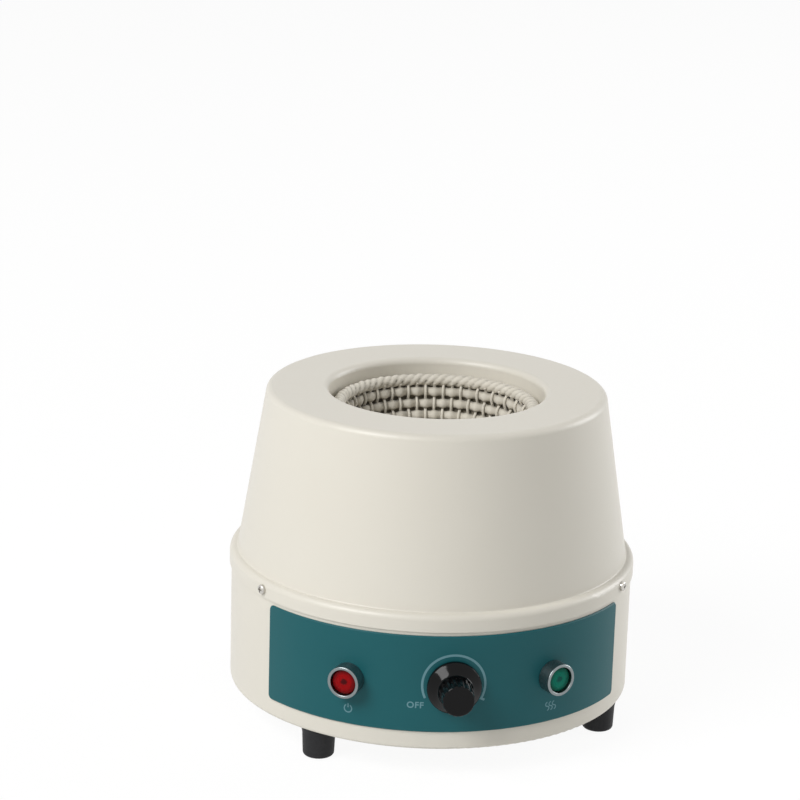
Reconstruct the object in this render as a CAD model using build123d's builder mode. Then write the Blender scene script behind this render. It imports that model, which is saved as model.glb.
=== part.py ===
from build123d import *
from math import atan2, cos, hypot, pi, radians, sin, sqrt
import os

os.makedirs("parts", exist_ok=True)

# Driving dimensions, in millimetres and degrees.
# The row stands on its feet: +Z up, origin on the bench under the housing's axis, control panel towards -Y.
# Angles round the housing run from the panel's middle (-Y) towards +X.

# Housing
skirt_radius = 100.4  # outside of the upper shell's skirt
sheet = 0.8  # steel sheet of both shells
shell_clearance = 0.15  # lower wall inside the skirt
foot_height = 15.1  # bench to the underside of the floor
seam_height = 59.1  # underside of the floor to the skirt's edge
skirt_height = 8.3  # skirt's edge to the ledge
ledge_width = 3.9  # skirt to the foot of the cone
cone_height = 81.8  # ledge to the top face
cone_top_radius = 83.2
mouth_radius = 53.0  # inside of the turned-down rim
rim_depth = 12.0  # top face to the rim's lower edge
skirt_bend = 3.0
crease_bend = 0.9
shoulder_bend = 3.6
mouth_bend = 3.0
pan_bend = 1.5  # floor to wall, outside
lap_clearance = 2.2  # lower wall's edge under the ledge

# Cover screws, M3
cover_screw_angles = (-60, 60, 180)
cover_screw_height = 4.0  # over the skirt's edge
cover_screw_radius = 1.45
cover_head_radius = 2.4
cover_head_height = 1.7
cover_nut_flats = 5.5
cover_nut_height = 2.4
thread_clearance = 0.05  # screw in its nut, radially
hole_clearance = 0.2  # screw or sleeve in its hole, radially
recess_reach = 1.2  # cross recess, tip to tip, over the head's radius
recess_slot = 0.25  # width of its slots over the head's radius
recess_depth = 0.5  # over the head's height
head_dome = 0.6  # rounding of a pan head over its height
seat_clearance = 0.05  # flat parts that bear on each other

# Front panel
panel_half_angle = 56.7
panel_bottom = 9.2  # over the underside of the floor
panel_thickness = 0.9
panel_gap = 0.1  # adhesive between wall and panel
panel_corner = 2.5
panel_edge = 0.5  # chamfer
panel_clearance = 2.0  # under the skirt's edge

# Lamps
lamp_angle = 28.7
control_height = 32.3  # over the underside of the floor
bezel_radius = 7.8
bezel_stand = 7.2  # bezel's front over the panel
bezel_opening = 6.3
bezel_edge = 0.5
lens_recess = 1.3  # lens face below the bezel's front
lens_depth = 3.4
lens_clearance = 0.1
lens_facets = 8
lens_crown = 0.9
lens_facet_taper = 45
sleeve_radius = 5.9  # threaded sleeve through the wall
sleeve_wall = 0.9
sleeve_length = 12.0  # behind the panel's face
lamp_nut_flats = 16.0
lamp_nut_height = 2.5
lamp_tail_radius = 6.6
lamp_tail_length = 9.0
lamp_blade_width = 2.8
lamp_blade_thickness = 0.5
lamp_blade_length = 7.0
lamp_blade_spacing = 6.0

# Regulator and knob
shaft_radius = 3.0
shaft_running_clearance = 0.05
shaft_flat = 0.6
bushing_radius = 4.6
bushing_over_nut = 0.8
regulator_washer_radius = 7.0
regulator_washer_thickness = 0.5
regulator_nut_flats = 11.0
regulator_nut_height = 2.0
regulator_can_radius = 12.0
regulator_can_length = 9.0
switch_can_radius = 10.5
switch_can_length = 7.0
lug_width = 2.2
lug_length = 5.0
knob_gap = 0.7  # knob's back over the panel
knob_length = 17.8
knob_skirt_radius = 12.9
knob_skirt_edge = 1.0  # straight part of the skirt's rim
knob_skirt_height = 6.6  # back to the foot of the grip
shoulder_run = 1.1  # rounding of the skirt's rim, along the axis
shoulder_drop = 0.6  # and towards the axis
neck_run = 1.5  # hollow between skirt and grip, along the axis
neck_rise = 0.75  # and over the grip
knob_grip_radius = 8.15  # grip at its foot
knob_cap_radius = 7.55
cap_edge = 0.9
knob_cavity_radius = 7.4
knob_cavity_depth = 4.5
knob_wall_over_shaft = 3.0  # cap in front of the shaft's end
knob_fit = 0.03  # shaft in the knob, radially
flute_count = 16
flute_radius = 1.6
flute_depth = 0.5
flute_runout = 0.35  # flute depth at the cap
set_screw_radius = 1.5
set_screw_height = 9.0  # over the knob's back
set_screw_length = 4.0
set_screw_slot_width = 0.5
set_screw_slot_depth = 0.8

# Feet
foot_inset = 10.6  # foot's centre inside the skirt
foot_pattern_turn = 11.1  # the pattern's own turn against the panel
foot_half_spread = 53.0
foot_top_radius = 8.65
foot_neck_radius = 8.0  # where the flare at the top starts
foot_base_radius = 7.55
foot_flare = 3.2  # height of the flare
foot_edge = 1.8
foot_bore_radius = 4.3
foot_bore_depth = 9.0
foot_screw_radius = 1.95
foot_head_radius = 3.6
foot_head_height = 2.4
foot_washer_radius = 4.1
foot_washer_thickness = 0.8
foot_nut_flats = 7.0
foot_nut_height = 3.2
screw_proud = 1.0  # screw's end past its nut

# Nest, insulation and support bowl
seat_radius = 44.0  # crests of the woven rows
nest_wall = 6.0
nest_drop = 12.3  # bowl's centre below the top face
nest_rows = 12
row_height = 1.0  # crest of a row over the groove
rope_radius = 3.2  # rope edge of the nest
rope_circle_radius = 47.9
rope_height = 2.5  # rope's centre over the bowl's centre
blanket_clearance = 0.3
bowl_radius = 70.0
bowl_sheet = 0.8
bowl_depth = 70.0  # below the bowl's centre
bowl_bend = 35.0
bowl_clearance = 0.3  # bowl's edge under the top
shield_inset = 14.4  # shield's rim inside the skirt
shield_thickness = 1.0
rivet_angles = (0, 120, 240)
rivet_circle_radius = 29.0
rivet_radius = 2.0
rivet_head_radius = 3.6
rivet_head_height = 1.0
rivet_pocket_clearance = 0.5

# Posts under the heat shield
post_angles = (60, 180, 300)
post_circle_radius = 66.0
post_radius = 4.0
post_screw_radius = 1.95
post_head_radius = 3.6
post_head_height = 2.4
post_screw_length = 10.0

# Circuit board and what stands on it
board_length = 80.0
board_width = 56.0
board_thickness = 1.6
board_offset = 32.0  # board's centre behind the housing's axis
board_corner = 2.0
spacer_height = 8.0
spacer_flats = 5.5
spacer_inset = 5.0
board_screw_radius = 1.45
board_head_radius = 2.7
board_head_height = 1.7
board_screw_length = 4.6
heat_sink_width = 50.0
heat_sink_base = 3.0
heat_sink_fins = 7
heat_sink_fin_depth = 9.0
heat_sink_fin_thickness = 1.5
heat_sink_height = 28.0
heat_sink_inset = 6.0  # fins' tips in front of the board's rear edge
triac_width = 10.0
triac_depth = 4.5
triac_height = 15.0
triac_edge = 0.9
triac_leg = 4.0
triac_leg_width = 0.8
triac_leg_thickness = 0.55
triac_leg_pitch = 2.5
capacitor_length = 18.0
capacitor_width = 8.5
capacitor_height = 14.0
capacitor_edge = 1.0
capacitor_offset = -24.0
choke_radius = 9.0
choke_winding = 3.6
choke_offset = 24.0
components_inset = 24.0  # choke's and capacitor's centres behind the board's front edge
fuse_radius = 2.6
fuse_length = 20.0
fuse_cap_length = 5.0
fuse_cap_thickness = 0.3
fuse_height = 5.0  # over the board
clip_width = 4.0
clip_thickness = 0.5
strip_ways = 6
strip_pitch = 5.0
strip_width = 9.0
strip_height = 10.0
strip_edge = 1.1
strip_inset = 6.0  # behind the board's front edge
strip_screw_radius = 1.6

# Ceramic terminal block, heater leads and their bushes
block_angle = 78.0
block_inset = 36.4  # block's centre inside the skirt
block_length = 22.0
block_width = 18.0
block_height = 14.0
block_hole_height = 7.0
block_edge = 1.0
lead_spacing = 8.0
lead_radius = 1.2
lead_bend = 12.0
lead_circle_radius = 26.0
lead_clearance = 0.3
lead_entry = 4.0  # lead's end inside the terminal block
bush_radius = 3.0
bush_flange_radius = 3.8
bush_flange = 1.5
bush_length = 6.0  # above the flange

# Leads inside the housing
wire_radius = 0.9
wire_bend = 5.0
wire_straight = 14.0  # from a lamp's blade to the first bend

# Earth stud
earth_angle = 205.0
earth_inset = 22.4  # stud inside the skirt
earth_stud_radius = 1.95
earth_stud_length = 18.0
earth_head_radius = 3.6
earth_head_height = 2.4

# Cable gland
gland_height = 25.0  # over the underside of the floor
gland_thread_radius = 7.6
gland_flats = 19.0
gland_flange = 4.0
gland_spigot = 10.0  # outside the flange, under the dome nut
gland_tail = 9.0  # inside the wall
gland_bore = 4.3
gland_mouth = 5.2
seal_bore = 3.6  # for a cord of about 7 mm
seal_length = 9.0
seal_clearance = 0.05
dome_length = 15.0
dome_opening = 4.4
dome_bend = 3.0
locknut_flats = 18.0
locknut_height = 4.0

# Floor vents
vent_count = 10
vent_circle_radius = 23.0
vent_length = 15.0
vent_width = 3.0

# Places that follow from the driving dimensions
seam_z = foot_height + seam_height
ledge_z = seam_z + skirt_height
top_z = ledge_z + cone_height
floor_top = foot_height + sheet
cone_foot_radius = skirt_radius - ledge_width
wall_radius = skirt_radius - sheet - shell_clearance
wall_inside = wall_radius - sheet
wall_top = ledge_z - sheet - lap_clearance
cover_screw_z = seam_z + cover_screw_height
foot_circle_radius = skirt_radius - foot_inset
shield_radius = skirt_radius - shield_inset
block_circle_radius = skirt_radius - block_inset
earth_circle_radius = skirt_radius - earth_inset
control_z = foot_height + control_height
panel_inside = wall_radius + panel_gap
panel_face = panel_inside + panel_thickness
nest_z = top_z - nest_drop
bowl_z = nest_z - bowl_depth
shield_z = bowl_z - shield_thickness
board_z = floor_top + spacer_height
board_top = board_z + board_thickness


def outward(angle):
    return Vector(sin(radians(angle)), -cos(radians(angle)), 0)


def radial_plane(angle, distance, height):
    """A plane that faces straight out of the housing, its local y upwards."""
    right = Vector(cos(radians(angle)), sin(radians(angle)), 0)
    return Plane(origin=outward(angle) * distance + Vector(0, 0, height), x_dir=right, z_dir=outward(angle))


def section_plane(angle, height=0):
    """A plane through the housing's axis, its local x outwards and its local y upwards."""
    out = outward(angle)
    return Plane(origin=(0, 0, height), x_dir=out, z_dir=out.cross(Vector(0, 0, 1)))


def radial_axis(angle, height):
    return Axis(Vector(0, 0, height), outward(angle))


def flat_seat(radius, half_width):
    """How far from the axis a flat face of this half width lies when it bears inside a round wall."""
    return sqrt(radius**2 - half_width**2) - seat_clearance


def corner_radius(across_flats):
    return across_flats / 2 / cos(pi / 6)


def cross_recess(head_radius):
    """The outline of a cross recess, drawn in the sketch that is open."""
    Rectangle(head_radius * recess_reach, head_radius * recess_slot)
    Rectangle(head_radius * recess_slot, head_radius * recess_reach)


# Upper shell: skirt, ledge, cone, flat top and turned-down mouth rim in one sheet
with BuildPart() as upper_shell:
    with BuildSketch(Plane.XZ):
        with BuildLine():
            FilletPolyline(
                (skirt_radius, seam_z),
                (skirt_radius, ledge_z),
                (cone_foot_radius, ledge_z),
                (cone_top_radius, top_z),
                (mouth_radius, top_z),
                (mouth_radius, top_z - rim_depth),
                radius=(skirt_bend, crease_bend, shoulder_bend, mouth_bend),
            )
            offset(amount=sheet, side=Side.LEFT)
        make_face()
    revolve(axis=Axis.Z)
    for angle in cover_screw_angles:
        with BuildSketch(radial_plane(angle, wall_inside, cover_screw_z)):
            Circle(cover_screw_radius + hole_clearance)
    extrude(amount=skirt_radius, mode=Mode.SUBTRACT)
upper_shell.part.label = "upper_shell"
export_step(upper_shell.part, "parts/upper_shell.step")

# Lower shell: drawn pan, floor and wall in one sheet, with every hole that its fittings need
foot_angles = {
    "foot_front_left": foot_pattern_turn - foot_half_spread,
    "foot_front_right": foot_pattern_turn + foot_half_spread,
    "foot_rear_right": foot_pattern_turn + 180 - foot_half_spread,
    "foot_rear_left": foot_pattern_turn + 180 + foot_half_spread,
}
foot_spots = [outward(angle) * foot_circle_radius for angle in foot_angles.values()]
post_spots = [outward(angle) * post_circle_radius for angle in post_angles]
spacer_pitch_x = board_length - 2 * spacer_inset
spacer_pitch_y = board_width - 2 * spacer_inset
spacer_spots = [
    Vector(x, board_offset + y, 0)
    for x in (-spacer_pitch_x / 2, spacer_pitch_x / 2)
    for y in (-spacer_pitch_y / 2, spacer_pitch_y / 2)
]
block_spot = outward(block_angle) * block_circle_radius
earth_spot = outward(earth_angle) * earth_circle_radius
gland_z = foot_height + gland_height

with BuildPart() as lower_shell:
    with BuildSketch(Plane.XZ):
        with BuildLine():
            FilletPolyline(
                (0, foot_height),
                (wall_radius, foot_height),
                (wall_radius, wall_top),
                radius=pan_bend,
            )
            offset(amount=sheet, side=Side.LEFT)
        make_face()
    revolve(axis=Axis.Z)
    with BuildSketch(Plane.XY.offset(foot_height)):
        with Locations(foot_spots):
            Circle(foot_screw_radius + hole_clearance)
        with Locations(post_spots):
            Circle(post_screw_radius + hole_clearance)
        with Locations(spacer_spots):
            Circle(board_screw_radius + hole_clearance)
        with Locations(block_spot):
            Circle(board_screw_radius + hole_clearance)
        with Locations(earth_spot):
            Circle(earth_stud_radius + hole_clearance)
        with PolarLocations(vent_circle_radius, vent_count):
            SlotOverall(vent_length, vent_width)
    extrude(amount=sheet, mode=Mode.SUBTRACT)
    for angle in cover_screw_angles:
        with BuildSketch(radial_plane(angle, wall_inside / 2, cover_screw_z)):
            Circle(cover_screw_radius + hole_clearance)
    for angle in (-lamp_angle, lamp_angle):
        with BuildSketch(radial_plane(angle, wall_inside / 2, control_z)):
            Circle(sleeve_radius + hole_clearance)
    with BuildSketch(radial_plane(0, wall_inside / 2, control_z)):
        Circle(bushing_radius + hole_clearance)
    with BuildSketch(radial_plane(180, wall_inside / 2, gland_z)):
        Circle(gland_thread_radius + hole_clearance)
    extrude(amount=wall_radius, mode=Mode.SUBTRACT)
lower_shell.part.label = "lower_shell"
export_step(lower_shell.part, "parts/lower_shell.step")

# Cover screws: pan heads with a cross recess, through skirt and wall
cover_nut_seat = flat_seat(wall_inside, corner_radius(cover_nut_flats))
cover_screw_end = cover_nut_seat - cover_nut_height - screw_proud
cover_head_seat = skirt_radius + seat_clearance
cover_head_face = cover_head_seat + cover_head_height
with BuildPart() as cover_screws:
    for angle in cover_screw_angles:
        with BuildSketch(radial_plane(angle, cover_head_seat, cover_screw_z)):
            Circle(cover_head_radius)
    extrude(amount=cover_head_height)
    head_faces = cover_screws.faces().filter_by(
        lambda face: abs(hypot(face.center().X, face.center().Y) - cover_head_face) < seat_clearance
    )
    fillet(head_faces.edges(), cover_head_height * head_dome)
    for angle in cover_screw_angles:
        with BuildSketch(radial_plane(angle, cover_screw_end, cover_screw_z)):
            Circle(cover_screw_radius)
    extrude(amount=cover_head_seat - cover_screw_end)
    for angle in cover_screw_angles:
        with BuildSketch(radial_plane(angle, cover_head_face, cover_screw_z)):
            cross_recess(cover_head_radius)
    extrude(amount=-cover_head_height * recess_depth, mode=Mode.SUBTRACT)
cover_screws.part.label = "cover_screws"
export_step(cover_screws.part, "parts/cover_screws.step")

with BuildPart() as cover_nuts:
    for angle in cover_screw_angles:
        with BuildSketch(radial_plane(angle, cover_nut_seat, cover_screw_z)):
            RegularPolygon(corner_radius(cover_nut_flats), 6)
            Circle(cover_screw_radius + thread_clearance, mode=Mode.SUBTRACT)
    extrude(amount=-cover_nut_height)
cover_nuts.part.label = "cover_nuts"
export_step(cover_nuts.part, "parts/cover_nuts.step")

# Front panel: a curved plate with round corners, right under the skirt's edge
panel_low = foot_height + panel_bottom
panel_high = seam_z - panel_clearance
with BuildPart() as front_panel:
    with BuildSketch(section_plane(-panel_half_angle)):
        with Locations(((panel_inside + panel_face) / 2, (panel_low + panel_high) / 2)):
            Rectangle(panel_thickness, panel_high - panel_low)
    revolve(axis=Axis.Z, revolution_arc=2 * panel_half_angle)
    corner_edges = front_panel.edges().filter_by(lambda edge: abs(edge.length - panel_thickness) < 0.001)
    fillet(corner_edges, panel_corner)
    face_rim = front_panel.faces().filter_by(GeomType.CYLINDER).sort_by(SortBy.AREA)[-1].edges()
    chamfer(face_rim, panel_edge)
    for angle in (-lamp_angle, lamp_angle):
        with BuildSketch(radial_plane(angle, wall_inside / 2, control_z)):
            Circle(sleeve_radius + hole_clearance)
    with BuildSketch(radial_plane(0, wall_inside / 2, control_z)):
        Circle(bushing_radius + hole_clearance)
    extrude(amount=skirt_radius, mode=Mode.SUBTRACT)
front_panel.part.label = "front_panel"
export_step(front_panel.part, "parts/front_panel.step")

# Lamps: chrome collar with a threaded sleeve, faceted lens, moulded body with two blades, nut behind
bezel_front = panel_face + bezel_stand
lens_face = bezel_front - lens_recess
lens_seat = lens_face - lens_depth
sleeve_end = panel_face - sleeve_length
sleeve_bore = sleeve_radius - sleeve_wall
tail_front = sleeve_end - seat_clearance
tail_end = tail_front - lamp_tail_length
for name, angle in {"power_lamp": -lamp_angle, "heat_lamp": lamp_angle}.items():
    lamp_axis = radial_axis(angle, control_z)
    with BuildPart() as bezel:
        with BuildSketch(section_plane(angle, control_z)):
            with BuildLine():
                Polyline(
                    (panel_face, sleeve_radius),
                    (panel_face, bezel_radius),
                    (bezel_front, bezel_radius),
                    (bezel_front, bezel_opening),
                    (lens_seat, bezel_opening),
                    (lens_seat, sleeve_bore),
                    (sleeve_end, sleeve_bore),
                    (sleeve_end, sleeve_radius),
                    close=True,
                )
            make_face()
        revolve(axis=lamp_axis)
        front_rims = bezel.edges().filter_by(GeomType.CIRCLE).sort_by(lamp_axis)[-2:]
        fillet(front_rims, bezel_edge)
    bezel.part.label = f"{name}_bezel"
    export_step(bezel.part, f"parts/{name}_bezel.step")

    with BuildPart() as lens:
        with BuildSketch(radial_plane(angle, lens_seat + seat_clearance, control_z)):
            Circle(bezel_opening - lens_clearance)
        extrude(amount=lens_depth - seat_clearance - lens_crown)
        with BuildSketch(radial_plane(angle, lens_face - lens_crown, control_z)):
            RegularPolygon(bezel_opening - lens_clearance, lens_facets)
        extrude(amount=lens_crown, taper=lens_facet_taper)
    lens.part.label = f"{name}_lens"
    export_step(lens.part, f"parts/{name}_lens.step")

    with BuildPart() as lamp_body:
        with BuildSketch(radial_plane(angle, tail_front, control_z)):
            Circle(sleeve_bore - lens_clearance)
        extrude(amount=lens_seat - lens_clearance - tail_front)
        with BuildSketch(radial_plane(angle, tail_front, control_z)):
            Circle(lamp_tail_radius)
        extrude(amount=-lamp_tail_length)
        fillet(lamp_body.edges().filter_by(GeomType.CIRCLE).sort_by(lamp_axis)[0], bezel_edge)
    lamp_body.part.label = f"{name}_body"
    export_step(lamp_body.part, f"parts/{name}_body.step")

    with BuildPart() as lamp_blades:
        with BuildSketch(radial_plane(angle, tail_end - seat_clearance, control_z)):
            with GridLocations(lamp_blade_spacing, 0, 2, 1):
                Rectangle(lamp_blade_thickness, lamp_blade_width)
        extrude(amount=-lamp_blade_length)
    lamp_blades.part.label = f"{name}_blades"
    export_step(lamp_blades.part, f"parts/{name}_blades.step")

    with BuildPart() as lamp_nut:
        lamp_nut_corner = corner_radius(lamp_nut_flats)
        with BuildSketch(radial_plane(angle, flat_seat(wall_inside, lamp_nut_corner), control_z)):
            RegularPolygon(lamp_nut_corner, 6)
            Circle(sleeve_radius + thread_clearance, mode=Mode.SUBTRACT)
        extrude(amount=-lamp_nut_height)
    lamp_nut.part.label = f"{name}_nut"
    export_step(lamp_nut.part, f"parts/{name}_nut.step")

# Regulator: can with a threaded bushing, a switch can behind it, three lugs on an insulating plate
can_front = flat_seat(wall_inside, regulator_can_radius)
can_rear = can_front - regulator_can_length
nut_front = panel_face + regulator_washer_thickness + 2 * seat_clearance + regulator_nut_height
bushing_front = nut_front + bushing_over_nut
shaft_end = can_front - regulator_can_length / 2
with BuildPart() as regulator_body:
    with BuildSketch(radial_plane(0, can_rear, control_z)):
        Circle(regulator_can_radius)
    extrude(amount=regulator_can_length)
    with BuildSketch(radial_plane(0, can_front, control_z)):
        Circle(bushing_radius)
    extrude(amount=bushing_front - can_front)
    with BuildSketch(radial_plane(0, can_rear, control_z)):
        Circle(switch_can_radius)
    extrude(amount=-switch_can_length)
    with BuildSketch(radial_plane(0, shaft_end - seat_clearance, control_z)):
        Circle(shaft_radius + shaft_running_clearance)
    extrude(amount=skirt_radius, mode=Mode.SUBTRACT)
regulator_body.part.label = "regulator_body"
export_step(regulator_body.part, "parts/regulator_body.step")

switch_rear = can_rear - switch_can_length
lug_end = switch_rear - seat_clearance - lug_length
with BuildPart() as regulator_lugs:
    with BuildSketch(radial_plane(0, switch_rear - seat_clearance, control_z)):
        with GridLocations(strip_pitch, 0, 2, 1):
            Rectangle(lamp_blade_thickness, lug_width)
    extrude(amount=-lug_length)
regulator_lugs.part.label = "regulator_lugs"
export_step(regulator_lugs.part, "parts/regulator_lugs.step")

with BuildPart() as regulator_washer:
    with BuildSketch(radial_plane(0, panel_face + seat_clearance, control_z)):
        Circle(regulator_washer_radius)
        Circle(bushing_radius + thread_clearance, mode=Mode.SUBTRACT)
    extrude(amount=regulator_washer_thickness)
regulator_washer.part.label = "regulator_washer"
export_step(regulator_washer.part, "parts/regulator_washer.step")

with BuildPart() as regulator_nut:
    with BuildSketch(radial_plane(0, nut_front, control_z)):
        RegularPolygon(corner_radius(regulator_nut_flats), 6)
        Circle(bushing_radius + thread_clearance, mode=Mode.SUBTRACT)
    extrude(amount=-regulator_nut_height)
regulator_nut.part.label = "regulator_nut"
export_step(regulator_nut.part, "parts/regulator_nut.step")

# Knob: round skirt that hollows into a fluted grip, plain cap, hollow over the nut
knob_back = panel_face + knob_gap
knob_front = knob_back + knob_length
rim_end = knob_back + knob_skirt_edge
cavity_end = knob_back + knob_cavity_depth
shaft_tip = knob_front - knob_wall_over_shaft
grip_start = knob_back + knob_skirt_height
grip_length = knob_front - grip_start
grip_slope = (knob_grip_radius - knob_cap_radius) / (grip_length - cap_edge)
flute_slope = atan2(knob_grip_radius - knob_cap_radius - flute_depth + flute_runout, grip_length)
flute_circle_radius = knob_grip_radius + flute_radius - flute_depth
knob_axis = radial_axis(0, control_z)
knob_bore_radius = shaft_radius + knob_fit
with BuildPart() as control_knob:
    with BuildSketch(section_plane(0, control_z)):
        with BuildLine():
            skirt_rim = Line((knob_back, knob_skirt_radius), (rim_end, knob_skirt_radius))
            skirt_side = Spline(
                skirt_rim @ 1,
                (rim_end + shoulder_run, knob_skirt_radius - shoulder_drop),
                (grip_start - neck_run, knob_grip_radius + neck_rise),
                (grip_start, knob_grip_radius),
                tangents=((1, 0), (1, -grip_slope)),
            )
            grip_side = Line(skirt_side @ 1, (knob_front - cap_edge, knob_cap_radius))
            cap_round = RadiusArc(grip_side @ 1, (knob_front, knob_cap_radius - cap_edge), cap_edge)
            Polyline(
                cap_round @ 1,
                (knob_front, 0),
                (shaft_tip + seat_clearance, 0),
                (shaft_tip + seat_clearance, knob_bore_radius),
                (cavity_end, knob_bore_radius),
                (cavity_end, knob_cavity_radius),
                (knob_back, knob_cavity_radius),
                skirt_rim @ 0,
            )
        make_face()
    revolve(axis=knob_axis)
    for flute in range(flute_count):
        around = 2 * pi * flute / flute_count
        side = Vector(cos(around), 0, sin(around))
        start = Vector(0, -grip_start, control_z) + side * flute_circle_radius
        along = Vector(0, -cos(flute_slope), 0) - side * sin(flute_slope)
        with BuildSketch(Plane(origin=start, z_dir=along)):
            Circle(flute_radius)
    extrude(amount=2 * grip_length, mode=Mode.SUBTRACT)
    with BuildSketch(Plane(origin=(0, -knob_back - set_screw_height, control_z), z_dir=(0, 0, -1))):
        Circle(set_screw_radius + knob_fit)
    extrude(amount=knob_skirt_radius, mode=Mode.SUBTRACT)
control_knob.part.label = "control_knob"
export_step(control_knob.part, "parts/control_knob.step")

with BuildPart() as regulator_shaft:
    with BuildSketch(radial_plane(0, shaft_end, control_z)):
        Circle(shaft_radius)
    extrude(amount=shaft_tip - shaft_end)
    with BuildSketch(radial_plane(0, cavity_end, control_z)):
        with Locations((0, -shaft_radius)):
            Rectangle(2 * shaft_radius, 2 * shaft_flat)
    extrude(amount=shaft_tip - cavity_end, mode=Mode.SUBTRACT)
regulator_shaft.part.label = "regulator_shaft"
export_step(regulator_shaft.part, "parts/regulator_shaft.step")

with BuildPart() as knob_set_screw:
    set_screw_top = control_z - shaft_radius + shaft_flat - seat_clearance
    with BuildSketch(Plane(origin=(0, -knob_back - set_screw_height, set_screw_top), z_dir=(0, 0, -1))):
        Circle(set_screw_radius)
    extrude(amount=set_screw_length)
    with BuildSketch(Plane(origin=(0, -knob_back - set_screw_height, set_screw_top - set_screw_length))):
        Rectangle(set_screw_radius * 2, set_screw_slot_width)
    extrude(amount=set_screw_slot_depth, mode=Mode.SUBTRACT)
knob_set_screw.part.label = "knob_set_screw"
export_step(knob_set_screw.part, "parts/knob_set_screw.step")

# Feet: rubber cones, flared where they meet the floor, with a bore for the washer and the screw's head
neck_height = foot_height - foot_flare
from_below = (Align.CENTER, Align.CENTER, Align.MIN)
for name, angle in foot_angles.items():
    with BuildPart(Plane(origin=outward(angle) * foot_circle_radius)) as foot:
        Cone(foot_base_radius, foot_neck_radius, neck_height, align=from_below)
        with Locations((0, 0, neck_height)):
            Cone(foot_neck_radius, foot_top_radius, foot_flare, align=from_below)
        fillet(foot.edges().group_by(Axis.Z)[0], foot_edge)
        Cylinder(foot_bore_radius, foot_bore_depth, align=from_below, mode=Mode.SUBTRACT)
        Hole(foot_screw_radius + hole_clearance)
    foot.part.label = name
    export_step(foot.part, f"parts/{name}.step")

foot_washer_z = foot_bore_depth - foot_washer_thickness - seat_clearance
foot_head_z = foot_washer_z - seat_clearance
foot_screw_top = floor_top + seat_clearance + foot_nut_height + screw_proud
with BuildPart() as foot_washers:
    with BuildSketch(Plane.XY.offset(foot_washer_z)):
        with Locations(foot_spots):
            Circle(foot_washer_radius)
            Circle(foot_screw_radius + hole_clearance, mode=Mode.SUBTRACT)
    extrude(amount=foot_washer_thickness)
foot_washers.part.label = "foot_washers"
export_step(foot_washers.part, "parts/foot_washers.step")

with BuildPart() as foot_screws:
    with BuildSketch(Plane.XY.offset(foot_head_z)):
        with Locations(foot_spots):
            Circle(foot_head_radius)
    extrude(amount=-foot_head_height)
    fillet(foot_screws.edges().group_by(Axis.Z)[0], foot_head_height * head_dome)
    with BuildSketch(Plane.XY.offset(foot_head_z)):
        with Locations(foot_spots):
            Circle(foot_screw_radius)
    extrude(amount=foot_screw_top - foot_head_z)
    with BuildSketch(Plane.XY.offset(foot_head_z - foot_head_height)):
        with Locations(foot_spots):
            cross_recess(foot_head_radius)
    extrude(amount=foot_head_height * recess_depth, mode=Mode.SUBTRACT)
foot_screws.part.label = "foot_screws"
export_step(foot_screws.part, "parts/foot_screws.step")

with BuildPart() as foot_nuts:
    with BuildSketch(Plane.XY.offset(floor_top + seat_clearance)):
        with Locations(foot_spots):
            RegularPolygon(corner_radius(foot_nut_flats), 6)
            Circle(foot_screw_radius + thread_clearance, mode=Mode.SUBTRACT)
    extrude(amount=foot_nut_height)
foot_nuts.part.label = "foot_nuts"
export_step(foot_nuts.part, "parts/foot_nuts.step")

# Heating nest: a half bowl of woven yarn, its rows as ridges inside, with a rope round the edge
nest_outside = seat_radius + nest_wall
groove_radius = seat_radius + row_height
with BuildPart() as heating_nest:
    with BuildSketch(Plane.XZ):
        with BuildLine():
            row_turn = 90 / nest_rows
            for row in range(nest_rows):
                start = (
                    groove_radius * sin(radians(row * row_turn)),
                    nest_z - groove_radius * cos(radians(row * row_turn)),
                )
                crest = (
                    seat_radius * sin(radians((row + 0.5) * row_turn)),
                    nest_z - seat_radius * cos(radians((row + 0.5) * row_turn)),
                )
                end = (
                    groove_radius * sin(radians((row + 1) * row_turn)),
                    nest_z - groove_radius * cos(radians((row + 1) * row_turn)),
                )
                ThreePointArc(start, crest, end)
            Line((groove_radius, nest_z), (nest_outside, nest_z))
            CenterArc((0, nest_z), nest_outside, 0, -90)
            Line((0, nest_z - nest_outside), (0, nest_z - groove_radius))
        make_face()
        with Locations((rope_circle_radius, nest_z + rope_height)):
            Circle(rope_radius)
    revolve(axis=Axis.Z)
heating_nest.part.label = "heating_nest"
export_step(heating_nest.part, "parts/heating_nest.step")

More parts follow.
